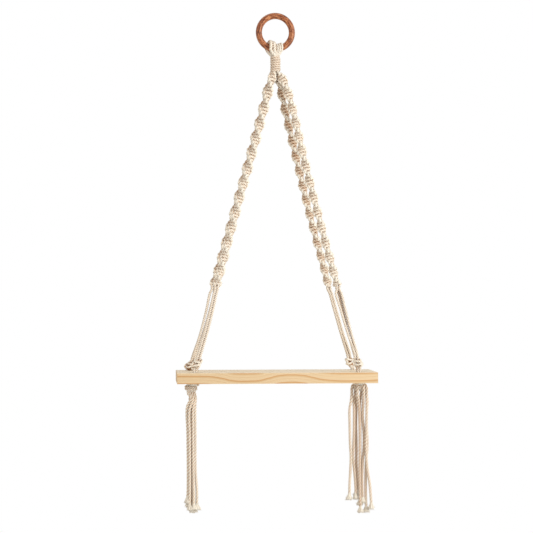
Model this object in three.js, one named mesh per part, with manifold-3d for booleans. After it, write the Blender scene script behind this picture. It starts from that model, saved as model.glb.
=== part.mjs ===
// Hanging rope shelf.
// Eight cotton cords are folded over a wooden ring and gathered under it. Their sixteen ends
// are knotted into four spiral lengths, run on plain through the corners of a pine board,
// are knotted again under each end of it and hang down as two tassels.
// Millimetres. +Z is up, +X runs along the board and -Y faces the viewer.
// The origin is the highest point of the ring's bore, where a hook carries it.
import * as THREE from 'three';
import { mergeVertices } from 'three/addons/utils/BufferGeometryUtils.js';
import Module from 'manifold-3d';

const wasm = await Module();
wasm.setup();

// Clearances
const SEAT_GAP = 0.3; // left between pieces that touch on the real shelf
const TURN_GAP = 0.5; // left between the turns of one winding
const CUT_OVERRUN = 2; // how far a cutting solid runs past what it cuts

// Ring
const RING_OUTER_DIAMETER = 71;
const RING_SECTION = 11.2;

// Cotton cord
const CORD_DIAMETER = 4.2;
const TIGHT_CORD_DIAMETER = 3.8; // where it is pulled flat on the ring and round the gathering

// Loops over the ring
const LOOPS_ON_RING = 6;
const LOOPS_ON_TOP = 2;
const LOOP_ROW_SHIFT = -1.1;
const LOOP_SLANT = 3; // sideways lead of each loop's front leg
const TOP_LOOP_SHIFT = -7.3;
const TOP_LOOP_SPACING = 5;
const RING_LOOP_REACH = THREE.MathUtils.degToRad(145); // each way from the loop's top
const TOP_LOOP_REACH = THREE.MathUtils.degToRad(98);

// Gathering under the ring
const GATHERING_DIAMETER = 19;
const GATHERING_DROP = 12.3; // from the ring's lowest section centre to the winding
const GATHERING_TURNS = 6.5;
const NECK_HALF_WIDTH = 10;
const NECK_HALF_DEPTH = 7.5;

// Knotted lengths
const SINNET_WIDTH = 16.4;
const SINNET_THICKNESS = 11;
const SINNET_DROP = 384.5;
const SINNET_HALF_TURNS = 15;

// Board
const BOARD_LENGTH = 356;
const BOARD_DEPTH = 114;
const BOARD_THICKNESS = 19;
const BOARD_DROP = 153; // from the ends of the knotted lengths to the board's top
const HOLE_DIAMETER = 12;
const HOLE_END_DISTANCE = 32;
const HOLE_EDGE_DISTANCE = 19;

// Stop knots on the board and the knots under it
const STOP_KNOT_WIDTH = 16.4;
const STOP_KNOT_THICKNESS = 11;
const STOP_KNOT_HEIGHT = 12;
const BUNDLE_HALF_THICKNESS = 3.4; // four cords pressed side by side under the board
const BUNDLE_HALF_WIDTH = 6.2;
const BUNDLE_BEND_CLEARANCE = 0.8;
const UNDER_KNOT_OUTSET = 6; // further out than the holes
const UNDER_KNOT_DIAMETER = 24;
const UNDER_KNOT_TURNS = 1.5;
const TASSEL_SWING = THREE.MathUtils.degToRad(30);

// Facets
const CORD_SIDES = 8;
const WINDING_SIDES = 6;
const WINDING_STEPS_PER_TURN = 24;
const HALF_TURN_STEPS = 4;
const BEND_STEPS = 4;
const HOLE_SIDES = 24;
const DIAMETERS_PER_TAIL_STEP = 3;

// Derived places
const ringTube = RING_SECTION / 2;
const ringRadius = (RING_OUTER_DIAMETER - RING_SECTION) / 2;
const ringCentreZ = ringTube - ringRadius;
const saddleZ = ringCentreZ - ringRadius;
const loopPitch = TIGHT_CORD_DIAMETER + SEAT_GAP;
const ringLoopRadius = ringTube + SEAT_GAP + TIGHT_CORD_DIAMETER / 2;
const topLoopRadius = ringLoopRadius + TIGHT_CORD_DIAMETER;
const swingRadius = ringLoopRadius + TIGHT_CORD_DIAMETER / 2 + SEAT_GAP;

const windingRadius = (GATHERING_DIAMETER - TIGHT_CORD_DIAMETER) / 2;
const gatheringCoreRadius = windingRadius - TIGHT_CORD_DIAMETER / 2 - SEAT_GAP;
const gatheringTopZ = saddleZ - GATHERING_DROP;
const gatheringPitch = TIGHT_CORD_DIAMETER + TURN_GAP;
const gatheringLength = GATHERING_TURNS * gatheringPitch + TIGHT_CORD_DIAMETER;
const gatheringBottomZ = gatheringTopZ - gatheringLength;

const sinnetTopZ = gatheringBottomZ - SEAT_GAP;
const sinnetBottomZ = sinnetTopZ - SINNET_DROP;
const boardTopZ = sinnetBottomZ - BOARD_DROP;
const boardBottomZ = boardTopZ - BOARD_THICKNESS;
const holeX = BOARD_LENGTH / 2 - HOLE_END_DISTANCE;
const holeY = BOARD_DEPTH / 2 - HOLE_EDGE_DISTANCE;

const bundleBend = BUNDLE_HALF_THICKNESS + BUNDLE_BEND_CLEARANCE;
const bundleRunZ = boardBottomZ - SEAT_GAP - BUNDLE_HALF_THICKNESS;
const bundlePairY = BUNDLE_HALF_THICKNESS + SEAT_GAP / 2;
const underKnotX = holeX + UNDER_KNOT_OUTSET;
const underKnotPitch = CORD_DIAMETER + TURN_GAP;
const underKnotTopZ = bundleRunZ - BUNDLE_HALF_THICKNESS - SEAT_GAP;
const underKnotBottomZ = underKnotTopZ - UNDER_KNOT_TURNS * underKnotPitch - CORD_DIAMETER;
const tasselTopZ = underKnotBottomZ - SEAT_GAP;

// Routes of the knotted lengths, from the gathering down. Each point holds shares of the
// drop, of the holes' distance from the middle and of their distance in depth.
const FRONT_DEPTH_SHARES = [0.121, 0.21, 0.29, 0.416, 0.571, 0.71, 0.774];
const BACK_DEPTH_SHARES = [0.121, 0.24, 0.29, 0.416, 0.571, 0.71, 0.768];
const DROP_SHARES = [0, 0.043, 0.17, 0.3835, 0.654, 0.906, 1];
const START_SIZE_SHARE = 0.52; // of the full section, where it leaves the gathering
const FULL_SIZE_DROP_SHARE = 0.055;

// One entry for each corner of the board. Lean and rise place the stop knot, as shares of
// its width and height, and the phase turns the spiral by a share of a half turn.
const CORNERS = [
  { name: 'front_left', side: -1, depth: -1, depthShares: FRONT_DEPTH_SHARES,
    sideShares: [0.0315, 0.057, 0.143, 0.2945, 0.493, 0.668, 0.736],
    phaseShare: 0, leanShare: -0.09, riseShare: 2.04, knotTurn: 0, spreadShare: 1.15 },
  { name: 'back_left', side: -1, depth: 1, depthShares: BACK_DEPTH_SHARES,
    sideShares: [0.0315, 0.0685, 0.154, 0.308, 0.51, 0.702, 0.774],
    phaseShare: 0.35, leanShare: 0.4, riseShare: 1.67, knotTurn: Math.PI / 2, spreadShare: 1.1 },
  { name: 'front_right', side: 1, depth: -1, depthShares: FRONT_DEPTH_SHARES,
    sideShares: [0.0315, 0.103, 0.2055, 0.331, 0.507, 0.6815, 0.75],
    phaseShare: 0.1, leanShare: 0.06, riseShare: 1.83, knotTurn: Math.PI / 4, spreadShare: 1.6 },
  { name: 'back_right', side: 1, depth: 1, depthShares: BACK_DEPTH_SHARES,
    sideShares: [0.0315, 0.058, 0.132, 0.267, 0.442, 0.623, 0.687],
    phaseShare: 0.02, leanShare: -0.37, riseShare: 1.92, knotTurn: -Math.PI / 4, spreadShare: 1.2 },
];

// Places of four cords that lie together, in cord diameters from their middle
const FOUR_CORD_SHARES = [[-0.57, -0.57], [0.57, -0.57], [-0.57, 0.57], [0.57, 0.57]];

// Tail routes, chosen by hand: sideways and depth offsets from the knot, then the drop
// below the tassel's top.
const LEFT_TAILS = [
  [[-6.9, -2.4, 0], [-7.2, -1.9, 25], [-6.5, -1.5, 73], [-5.7, -1.5, 139], [-6.3, -2, 182], [-8, -2.5, 197]],
  [[-2.3, -2.4, 0], [-3, -5, 30], [-2.8, -5, 73], [-2.2, -5, 139], [-2.4, -5.5, 182], [-3.4, -6, 209]],
  [[2.3, 2.4, 0], [1, -1, 28], [1.1, -1, 85], [1.2, -0.8, 139], [1.8, -1, 185], [2.2, -1, 214]],
  [[2.3, -2.4, 0], [4.2, -4.9, 26], [3.8, -5.1, 60], [4.6, -5.4, 139], [5.4, -6, 185], [5, -6.5, 209]],
  [[6.9, -2.4, 0], [8.1, -1.4, 22], [8.4, -1.5, 73], [8.9, -1.5, 139], [11.4, -2, 171], [11.9, -2.4, 209]],
  [[-6.9, 2.4, 0], [-3.8, 2.9, 28], [-3.2, 2.8, 85], [-3, 2.8, 139], [-4.2, 3.2, 182], [-6, 3.8, 205]],
  [[6.9, 2.4, 0], [5.2, 3.4, 28], [4.8, 3.4, 85], [4.8, 3.4, 139], [6.2, 3.8, 182], [6.8, 4, 214]],
  [[-2.3, 2.4, 0], [-1.7, 5.2, 10], [0.2, 6.7, 28], [0.4, 7, 85], [0.6, 7, 139], [0.8, 7.6, 182], [0.4, 8, 201]],
];
const RIGHT_TAILS = [
  [[-6.9, -2.4, 0], [-15, -4, 15], [-17.8, -4, 32], [-17.4, -3, 60], [-16.7, -2.4, 92], [-15.4, -3, 117],
    [-16.5, -4, 142], [-17.8, -4, 166], [-18.2, -4, 194]],
  [[-6.9, 2.4, 0], [-9.5, 1.4, 20], [-9.1, 0.4, 60], [-10.2, 1.2, 102], [-10.8, 2.2, 117], [-9.1, 0.6, 137],
    [-6.3, 0, 174], [-6.8, 0, 194]],
  [[-2.3, 2.4, 0], [-4.7, 4.2, 26], [-5.1, 5.2, 52], [-4.2, 5.4, 102], [-4.3, 5.6, 126], [-3, 5.8, 165],
    [-2.5, 6, 188]],
  [[-2.3, -2.4, 0], [-0.5, -3.4, 25], [0.6, -3.8, 60], [0.6, -4, 109], [0.3, -4, 142], [0.7, -4, 174],
    [1.9, -4, 217]],
  [[2.3, -2.4, 0], [7.4, -0.8, 20], [6.4, 0.2, 43], [8.8, 0.6, 76], [8.6, 0.4, 102], [6.5, 0, 126],
    [5.4, 0.4, 158], [6.4, 1, 201]],
  [[6.9, -2.4, 0], [13.5, -3.4, 26], [13.1, -4, 52], [12.6, -5, 70], [11.6, -5.2, 93], [13.2, -4.2, 126],
    [14.9, -3.4, 142], [18.8, -3, 166], [22.4, -3, 211]],
  [[6.9, 2.4, 0], [15.6, 3, 14], [14.6, 2.4, 35], [13.9, 2, 56], [15.1, 1.8, 82], [15.1, 1.6, 102],
    [13.2, 2.2, 126], [12.3, 2.4, 150], [12.3, 2.4, 191], [13.4, 2.4, 217]],
  [[2.3, 2.4, 0], [2, 5.4, 25], [2.8, 6.4, 60], [2.8, 6.4, 102], [2.8, 6.2, 142], [3, 6.4, 174],
    [3.5, 6.6, 205]],
];

const ringWood = new THREE.MeshStandardMaterial({ color: 0xa5602f, roughness: 0.45, metalness: 0 });
const cotton = new THREE.MeshStandardMaterial({ color: 0xeadfc8, roughness: 0.95, metalness: 0 });
const pine = new THREE.MeshStandardMaterial({ color: 0xe3c79f, roughness: 0.7, metalness: 0 });

const shelf = new THREE.Group();

// Puts one named piece into the shelf.
function add(name, geometry, material, x = 0, y = 0, z = 0) {
  const mesh = new THREE.Mesh(geometry, material);
  mesh.name = name;
  mesh.position.set(x, y, z);
  shelf.add(mesh);
  return mesh;
}

// Closed solid of a geometry, for cutting.
function solidOf(geometry) {
  const bare = geometry.clone();
  bare.deleteAttribute('normal');
  bare.deleteAttribute('uv');
  const merged = mergeVertices(bare);
  return new wasm.Manifold(new wasm.Mesh({
    numProp: 3,
    vertProperties: new Float32Array(merged.attributes.position.array),
    triVerts: new Uint32Array(merged.index.array),
  }));
}

// Geometry of a solid, after cutting.
function geometryOf(solid) {
  const { vertProperties, triVerts } = solid.getMesh();
  const geometry = new THREE.BufferGeometry();
  geometry.setAttribute('position', new THREE.BufferAttribute(vertProperties, 3));
  geometry.setIndex(new THREE.BufferAttribute(triVerts, 1));
  geometry.computeVertexNormals();
  return geometry;
}

// Closed skin through rings of points, with a flat cap on each end.
function skin(rings) {
  const sides = rings[0].length;
  const last = (rings.length - 1) * sides;
  const index = [];
  for (let start = 0; start < last; start += sides) {
    for (let s = 0; s < sides; s++) {
      const a = start + s;
      const b = start + ((s + 1) % sides);
      index.push(a, b, b + sides, a, b + sides, a + sides);
    }
  }
  for (let s = 1; s + 1 < sides; s++) {
    index.push(0, s + 1, s, last, last + s, last + s + 1);
  }
  const geometry = new THREE.BufferGeometry();
  const positions = rings.flat().flatMap((point) => point.toArray());
  geometry.setAttribute('position', new THREE.Float32BufferAttribute(positions, 3));
  geometry.setIndex(index);
  geometry.computeVertexNormals();
  return geometry;
}

// One oval ring of points round a centre, square to a direction of travel. Its width lies
// along the guide direction, turned by an angle.
function ovalRing(centre, travel, guide, halfWidth, halfThickness, turn, sides) {
  const across = guide.clone().addScaledVector(travel, -guide.dot(travel)).normalize();
  const through = new THREE.Vector3().crossVectors(travel, across);
  return Array.from({ length: sides }, (_, s) => {
    const angle = (2 * Math.PI * s) / sides;
    const u = halfWidth * Math.cos(angle);
    const v = halfThickness * Math.sin(angle);
    return centre.clone()
      .addScaledVector(across, u * Math.cos(turn) - v * Math.sin(turn))
      .addScaledVector(through, u * Math.sin(turn) + v * Math.cos(turn));
  });
}

// Direction of travel along a row of points at one of them.
function travelAt(points, i) {
  const before = points[Math.max(i - 1, 0)];
  const after = points[Math.min(i + 1, points.length - 1)];
  return after.clone().sub(before).normalize();
}

// Round cord along a smooth curve through points.
function cordTube(points, diameter, steps) {
  const section = new THREE.Shape(Array.from({ length: CORD_SIDES }, (_, s) => {
    const angle = (2 * Math.PI * s) / CORD_SIDES;
    return new THREE.Vector2(Math.cos(angle), Math.sin(angle)).multiplyScalar(diameter / 2);
  }));
  const extrudePath = new THREE.CatmullRomCurve3(points, false, 'centripetal');
  return new THREE.ExtrudeGeometry(section, { steps, bevelEnabled: false, extrudePath });
}

// One unbroken tube wound round an upright oval, rising from its start. Both ends run on
// straight for one tube diameter.
function winding(name, halfWidth, halfDepth, diameter, pitch, turns, bottomZ, startTurn) {
  const steps = Math.round(turns * WINDING_STEPS_PER_TURN);
  const points = Array.from({ length: steps + 1 }, (_, i) => {
    const angle = startTurn + (2 * Math.PI * i) / WINDING_STEPS_PER_TURN;
    const rise = (pitch * i) / WINDING_STEPS_PER_TURN;
    return new THREE.Vector3(
      halfWidth * Math.cos(angle), halfDepth * Math.sin(angle), bottomZ + diameter / 2 + rise);
  });
  printLeastGap(name, points, diameter);
  const lead = points[0].clone().addScaledVector(travelAt(points, 0), -diameter);
  const tail = points[steps].clone().addScaledVector(travelAt(points, steps), diameter);
  lead.z = points[0].z;
  tail.z = points[steps].z;
  const route = [lead, ...points, tail];
  const up = new THREE.Vector3(0, 0, 1);
  return skin(route.map((point, i) => ovalRing(
    point, travelAt(route, i), up, diameter / 2, diameter / 2, 0, WINDING_SIDES)));
}

// Prints the least gap that a winding leaves to itself, measured between its points.
function printLeastGap(name, points, diameter) {
  const apart = WINDING_STEPS_PER_TURN / 2;
  let least = Infinity;
  for (let i = 0; i < points.length; i++) {
    for (let j = i + apart; j < points.length; j++) {
      least = Math.min(least, points[i].distanceTo(points[j]) - diameter);
    }
  }
  console.log(`${name}: least gap to itself ${least.toFixed(2)} mm`);
}

// Wooden ring, standing in the plane of the board's length.
function hangingRing() {
  const ring = add('hanging_ring', new THREE.TorusGeometry(ringRadius, ringTube, 8, 36), ringWood);
  ring.position.z = ringCentreZ;
  ring.rotation.x = Math.PI / 2;
}

// One cord over the ring's bottom, at a fixed distance from the ring's section all the way.
function ringLoop(name, radius, offset, reach, steps) {
  const points = Array.from({ length: steps + 1 }, (_, i) => {
    const angle = reach * ((2 * i) / steps - 1);
    const firstLayer = ringRadius - ringLoopRadius * Math.cos(angle);
    const turn = (offset - LOOP_SLANT * Math.sin(angle)) / firstLayer;
    const out = ringRadius - radius * Math.cos(angle);
    return new THREE.Vector3(
      out * Math.sin(turn), radius * Math.sin(angle), ringCentreZ - out * Math.cos(turn));
  });
  add(name, cordTube(points, TIGHT_CORD_DIAMETER, steps), cotton);
}

// All loops: a row on the ring and a pair that crosses over it.
function ringLoops() {
  for (let i = 0; i < LOOPS_ON_RING; i++) {
    const offset = LOOP_ROW_SHIFT + (i - (LOOPS_ON_RING - 1) / 2) * loopPitch;
    ringLoop(`ring_loop_${i + 1}`, ringLoopRadius, offset, RING_LOOP_REACH, 14);
  }
  for (let i = 0; i < LOOPS_ON_TOP; i++) {
    const offset = TOP_LOOP_SHIFT + (i - (LOOPS_ON_TOP - 1) / 2) * TOP_LOOP_SPACING;
    ringLoop(`ring_loop_${LOOPS_ON_RING + i + 1}`, topLoopRadius, offset, TOP_LOOP_REACH, 10);
  }
}

// Cords drawn together under the loops. The neck's top is hollowed round the ring's lowest
// section, so that it can swing there.
function gatheringCore() {
  const down = new THREE.Vector3(0, 0, -1);
  const guide = new THREE.Vector3(1, 0, 0);
  const neckFootZ = gatheringTopZ + SEAT_GAP;
  const oval = (z, halfWidth, halfDepth) => ovalRing(
    new THREE.Vector3(0, 0, z), down, guide, halfWidth, halfDepth, 0, 2 * CORD_SIDES);
  const body = skin([
    oval(saddleZ - ringTube, NECK_HALF_WIDTH, NECK_HALF_DEPTH),
    oval(neckFootZ, windingRadius, NECK_HALF_DEPTH),
    oval(neckFootZ - SEAT_GAP, gatheringCoreRadius, gatheringCoreRadius),
    oval(gatheringBottomZ, gatheringCoreRadius, gatheringCoreRadius),
  ]);
  const hollow = new THREE.CylinderGeometry(
    swingRadius, swingRadius, 2 * (NECK_HALF_WIDTH + CUT_OVERRUN), HOLE_SIDES);
  hollow.rotateZ(Math.PI / 2).translate(0, 0, saddleZ);
  add('gathering_core', geometryOf(solidOf(body).subtract(solidOf(hollow))), cotton);
}

// Cord wound round the gathered cords.
function gatheringWrap() {
  add('gathering_wrap', winding('gathering_wrap', windingRadius, windingRadius,
    TIGHT_CORD_DIAMETER, gatheringPitch, GATHERING_TURNS, gatheringBottomZ, 0), cotton);
}

// Route of one knotted length.
function sinnetRoute(corner) {
  return DROP_SHARES.map((drop, i) => new THREE.Vector3(
    corner.side * holeX * corner.sideShares[i],
    corner.depth * holeY * corner.depthShares[i],
    sinnetTopZ - drop * SINNET_DROP));
}

// Knotted length: a flat band of knots that turns steadily as it goes down.
function sinnet(corner) {
  const path = new THREE.CatmullRomCurve3(sinnetRoute(corner), false, 'centripetal');
  const steps = SINNET_HALF_TURNS * HALF_TURN_STEPS;
  const points = path.getSpacedPoints(steps);
  const down = new THREE.Vector3(0, 0, -1);
  const guide = new THREE.Vector3(1, 0, 0);
  const rings = points.map((point, i) => {
    const travel = i === 0 || i === steps ? down : travelAt(points, i);
    const grown = Math.min((i / steps) / FULL_SIZE_DROP_SHARE, 1);
    const size = (START_SIZE_SHARE + (1 - START_SIZE_SHARE) * grown) / 2;
    const turn = Math.PI * (0.5 - corner.phaseShare - i / HALF_TURN_STEPS);
    return ovalRing(point, travel, guide, SINNET_WIDTH * size, SINNET_THICKNESS * size, turn, CORD_SIDES);
  });
  add(`knotted_length_${corner.name}`, skin(rings), cotton);
}

// Middle of a stop knot's top or bottom face.
function stopKnotPlace(corner, heightShare) {
  const lean = corner.leanShare * STOP_KNOT_WIDTH;
  return new THREE.Vector3(
    corner.side * (holeX + lean * (0.75 + 0.35 * heightShare)),
    corner.depth * holeY,
    boardTopZ + STOP_KNOT_HEIGHT * (corner.riseShare - 1 + heightShare));
}

// Four plain cords from a knotted length down to its stop knot.
function plainCords(corner) {
  const start = sinnetRoute(corner).at(-1);
  const end = stopKnotPlace(corner, 1);
  start.z -= SEAT_GAP;
  end.z += SEAT_GAP;
  FOUR_CORD_SHARES.forEach(([sideways, inDepth], i) => {
    const at = (share, spread, rise) => start.clone().lerp(end, share).add(new THREE.Vector3(
      CORD_DIAMETER * sideways * spread, CORD_DIAMETER * inDepth, rise));
    const route = [
      at(0, 1, 0),
      at(0, 1, -CORD_DIAMETER),
      at(0.3, corner.spreadShare, 0),
      at(0.65, corner.spreadShare, 0),
      at(1, 1, CORD_DIAMETER),
      at(1, 1, 0),
    ];
    add(`${corner.name}_cord_${i + 1}`, cordTube(route, CORD_DIAMETER, 6), cotton);
  });
}

// Stop knot: one square knot, flat like the knotted lengths.
function stopKnot(corner) {
  const profile = [[0, 0.7], [0.12, 0.93], [0.3, 1], [0.5, 0.92], [0.7, 1], [0.88, 0.93], [1, 0.7]];
  const down = new THREE.Vector3(0, 0, -1);
  const guide = new THREE.Vector3(1, 0, 0);
  const rings = profile.map(([dropShare, sizeShare]) => ovalRing(
    stopKnotPlace(corner, 1 - dropShare), down, guide, (STOP_KNOT_WIDTH * sizeShare) / 2,
    (STOP_KNOT_THICKNESS * sizeShare) / 2, corner.knotTurn, CORD_SIDES));
  add(`${corner.name}_stop_knot`, skin(rings), cotton);
}

// Quarter turn from one direction into another that is square to it, without its ends.
function quarterTurn(start, from, into, radius) {
  return Array.from({ length: BEND_STEPS - 1 }, (_, i) => {
    const angle = ((i + 1) * Math.PI) / 2 / BEND_STEPS;
    return start.clone()
      .addScaledVector(from, radius * Math.sin(angle))
      .addScaledVector(into, radius * (1 - Math.cos(angle)));
  });
}

// Four cords as one bundle: from the stop knot through the hole, along the board's
// underside to the middle of its depth, and down through the knot there.
function holeCords(corner) {
  const roundHalf = Math.sqrt(BUNDLE_HALF_THICKNESS * (HOLE_DIAMETER / 2 - BUNDLE_BEND_CLEARANCE));
  const lean = corner.leanShare * STOP_KNOT_WIDTH;
  const outX = (share) => corner.side * (holeX + share * UNDER_KNOT_OUTSET);
  const down = new THREE.Vector3(0, 0, -1);
  const inward = new THREE.Vector3(0, -corner.depth, 0);
  const top = new THREE.Vector3(
    corner.side * (holeX + 0.6 * lean), corner.depth * holeY, stopKnotPlace(corner, 0).z - SEAT_GAP);
  const mouth = new THREE.Vector3(outX(0), corner.depth * holeY, boardTopZ + bundleBend / 2);
  const exit = new THREE.Vector3(outX(0), corner.depth * holeY, bundleRunZ + bundleBend);
  const underStart = new THREE.Vector3(outX(0), corner.depth * (holeY - bundleBend), bundleRunZ);
  const underEnd = new THREE.Vector3(outX(1), corner.depth * (bundlePairY + bundleBend), bundleRunZ);
  const knotTop = new THREE.Vector3(outX(1), corner.depth * bundlePairY, bundleRunZ - bundleBend);
  const knotFoot = new THREE.Vector3(outX(1), corner.depth * bundlePairY, underKnotBottomZ);
  const round = [roundHalf, roundHalf];
  const oval = [HOLE_DIAMETER / 2 - BUNDLE_BEND_CLEARANCE, BUNDLE_HALF_THICKNESS];
  const flat = [BUNDLE_HALF_WIDTH, BUNDLE_HALF_THICKNESS];
  const stations = [
    [top, round, down],
    [mouth, round, down],
    [exit, oval, down],
    ...quarterTurn(exit, down, inward, bundleBend).map((point) => [point, oval]),
    [underStart, oval, inward],
    [underEnd, flat, inward],
    ...quarterTurn(underEnd, inward, down, bundleBend).map((point) => [point, flat]),
    [knotTop, flat, down],
    [knotFoot, flat, down],
  ];
  const points = stations.map(([point]) => point);
  const guide = new THREE.Vector3(1, 0, 0);
  const rings = stations.map(([point, [halfWidth, halfThickness], travel], i) => ovalRing(
    point, travel ?? travelAt(points, i), guide, halfWidth, halfThickness, 0, CORD_SIDES));
  add(`${corner.name}_hole_cords`, skin(rings), cotton);
}

// Board with a hole near each corner.
function board() {
  const outline = new THREE.Shape([
    new THREE.Vector2(-BOARD_LENGTH / 2, -BOARD_DEPTH / 2),
    new THREE.Vector2(BOARD_LENGTH / 2, -BOARD_DEPTH / 2),
    new THREE.Vector2(BOARD_LENGTH / 2, BOARD_DEPTH / 2),
    new THREE.Vector2(-BOARD_LENGTH / 2, BOARD_DEPTH / 2),
  ]);
  for (const corner of CORNERS) {
    const hole = new THREE.Path();
    hole.absarc(corner.side * holeX, corner.depth * holeY, HOLE_DIAMETER / 2, 0, 2 * Math.PI, true);
    outline.holes.push(hole);
  }
  const slab = new THREE.ExtrudeGeometry(
    outline, { depth: BOARD_THICKNESS, bevelEnabled: false, curveSegments: HOLE_SIDES });
  add('pine_board', slab, pine, 0, 0, boardBottomZ);
}

// Cord wound round the two bundles where they meet under the board.
function underKnot(name, side) {
  const radius = (UNDER_KNOT_DIAMETER - CORD_DIAMETER) / 2;
  const knot = winding(name, radius, radius, CORD_DIAMETER, underKnotPitch, UNDER_KNOT_TURNS,
    underKnotBottomZ, 0);
  add(name, knot, cotton, side * underKnotX);
}

// Lowers the top of a tail to a roof that falls away on both sides of the middle, which
// keeps it clear of the knot when the tassel swings.
function roofTop(geometry) {
  const places = geometry.attributes.position;
  for (let i = 0; i < places.count; i++) {
    const roof = tasselTopZ - Math.abs(places.getY(i)) * Math.tan(TASSEL_SWING);
    places.setZ(i, Math.min(places.getZ(i), roof));
  }
  return geometry;
}

// The loose ends of eight cords under one end of the board.
function tassel(sideName, side, tails) {
  tails.forEach((places, i) => {
    const route = places.map(([x, y, drop]) => new THREE.Vector3(
      side * underKnotX + x, y, tasselTopZ - drop));
    const length = new THREE.CatmullRomCurve3(route, false, 'centripetal').getLength();
    const steps = Math.round(length / (DIAMETERS_PER_TAIL_STEP * CORD_DIAMETER));
    add(`${sideName}_tail_${i + 1}`, roofTop(cordTube(route, CORD_DIAMETER, steps)), cotton);
  });
}

hangingRing();
ringLoops();
gatheringCore();
gatheringWrap();
for (const corner of CORNERS) {
  sinnet(corner);
  plainCords(corner);
  stopKnot(corner);
  holeCords(corner);
}
board();
underKnot('left_under_knot', -1);
underKnot('right_under_knot', 1);
tassel('left', -1, LEFT_TAILS);
tassel('right', 1, RIGHT_TAILS);

export default shelf;
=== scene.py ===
"""Looks of a hanging rope shelf.

Cotton cords are folded over a wooden ring, gathered under it and knotted into four spiral
lengths. They run on plain through the corners of a pine board, are knotted again under each
end of it and hang down as two tassels with frayed ends.

Shapes are worked out in millimetres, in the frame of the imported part: +Z is up, +X runs along
the board and -Y faces the viewer. They turn into metres when a mesh is made.
"""

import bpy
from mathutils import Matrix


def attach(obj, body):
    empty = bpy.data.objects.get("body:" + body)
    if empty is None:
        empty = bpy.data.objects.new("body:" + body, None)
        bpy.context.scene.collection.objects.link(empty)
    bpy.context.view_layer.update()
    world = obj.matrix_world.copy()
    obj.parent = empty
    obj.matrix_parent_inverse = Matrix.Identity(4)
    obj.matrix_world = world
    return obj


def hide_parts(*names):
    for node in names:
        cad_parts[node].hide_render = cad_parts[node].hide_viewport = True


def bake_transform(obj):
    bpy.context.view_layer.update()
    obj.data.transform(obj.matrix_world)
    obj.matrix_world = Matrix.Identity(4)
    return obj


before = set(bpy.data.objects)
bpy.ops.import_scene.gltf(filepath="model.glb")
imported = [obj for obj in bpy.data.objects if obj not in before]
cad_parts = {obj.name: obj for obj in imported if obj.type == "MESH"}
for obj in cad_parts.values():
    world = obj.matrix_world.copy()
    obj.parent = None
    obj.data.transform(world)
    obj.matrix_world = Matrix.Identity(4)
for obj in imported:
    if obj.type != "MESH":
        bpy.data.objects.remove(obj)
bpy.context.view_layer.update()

import itertools
import logging
import math
from dataclasses import dataclass, field
from enum import Enum
from typing import ClassVar

import bmesh
import bpy
import numpy as np

LOG = logging.getLogger("rope_shelf")
MM = 0.001
POINTS_TO_A_STRETCH = 24
TOUCHING_FROM = 0.72
WHITE = (1.0, 1.0, 1.0, 1.0)
RIGHT = np.array([1.0, 0.0, 0.0])
UP = np.array([0.0, 0.0, 1.0])

Array = np.ndarray
Place = tuple[float, float, float]
Surface = tuple[Array, Array, Array]
Stops = tuple[tuple[float, str], ...]


class Side(Enum):
    """End of the board, as its sign along X."""

    LEFT = -1
    RIGHT = 1


class Depth(Enum):
    """Edge of the board, as its sign along Y."""

    FRONT = -1
    BACK = 1


class Slot(Enum):
    """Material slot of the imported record."""

    RING = "ring_wood"
    CORD = "cotton_cord"
    BOARD = "board_pine"


# Curves and surfaces

def arc_length(line: Array) -> Array:
    """Length along a line of points from its start, which is at 0, to each point."""
    return np.concatenate([[0.0], np.cumsum(np.linalg.norm(np.diff(line, axis=0), axis=1))])


def rows_at(places: Array, known: Array, rows: Array) -> Array:
    """Rows of a table read between its own places, by straight interpolation.

    Args:
        places: Where to read.
        known: Rising place of each row.
        rows: The table.

    Returns:
        One row for each place.
    """
    return np.stack([np.interp(places, known, column) for column in rows.T], axis=1)


def unit(rows: Array) -> Array:
    """Each row at a length of 1."""
    return rows / np.linalg.norm(rows, axis=1, keepdims=True)


def waves(along: Array, *terms: Place) -> Array:
    """Sum of sines along a line or round a ring, each given as its size, rate and start."""
    return sum(size * np.sin(rate * along + start) for size, rate, start in terms)


def resampled(line: Array, step: float) -> Array:
    """The same line with its points at even steps, found by straight interpolation.

    Args:
        line: Dense points.
        step: Wanted distance between points.

    Returns:
        Points, one row each, from the first to the last of the line.
    """
    along = arc_length(line)
    places = np.linspace(0.0, along[-1], max(int(round(along[-1] / step)), 2) + 1)
    return rows_at(places, along, line)


def smooth_line(places: Array, step: float) -> Array:
    """Smooth line through chosen places, as the part's source draws it.

    Each stretch between two places is a cubic whose slopes come from the places before and
    after, with the square root of each distance as its share of the parameter.

    Args:
        places: Chosen places, one row each.
        step: Distance between the returned points.

    Returns:
        Points at even steps.
    """
    places = np.asarray(places, float)
    row = np.vstack([2 * places[0] - places[1], places, 2 * places[-1] - places[-2]])
    share = np.sqrt(np.linalg.norm(np.diff(row, axis=0), axis=1))[:, None]
    before, own, after = share[:-2], share[1:-1], share[2:]
    p0, p1, p2, p3 = row[:-3], row[1:-2], row[2:-1], row[3:]
    leave = ((p1 - p0) / before - (p2 - p0) / (before + own) + (p2 - p1) / own) * own
    arrive = ((p2 - p1) / own - (p3 - p1) / (own + after) + (p3 - p2) / after) * own
    t = np.linspace(0, 1, POINTS_TO_A_STRETCH, endpoint=False)[None, :, None]
    square = (-3 * p1 + 3 * p2 - 2 * leave - arrive)[:, None]
    cube = (2 * p1 - 2 * p2 + leave + arrive)[:, None]
    dense = (p1[:, None] + leave[:, None] * t + square * t**2 + cube * t**3).reshape(-1, 3)
    return resampled(np.vstack([dense, places[-1]]), step)


def directions(line: Array) -> Array:
    """Unit direction of travel at each point of a line, from its two neighbours."""
    return unit(np.gradient(line, axis=0))


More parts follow.
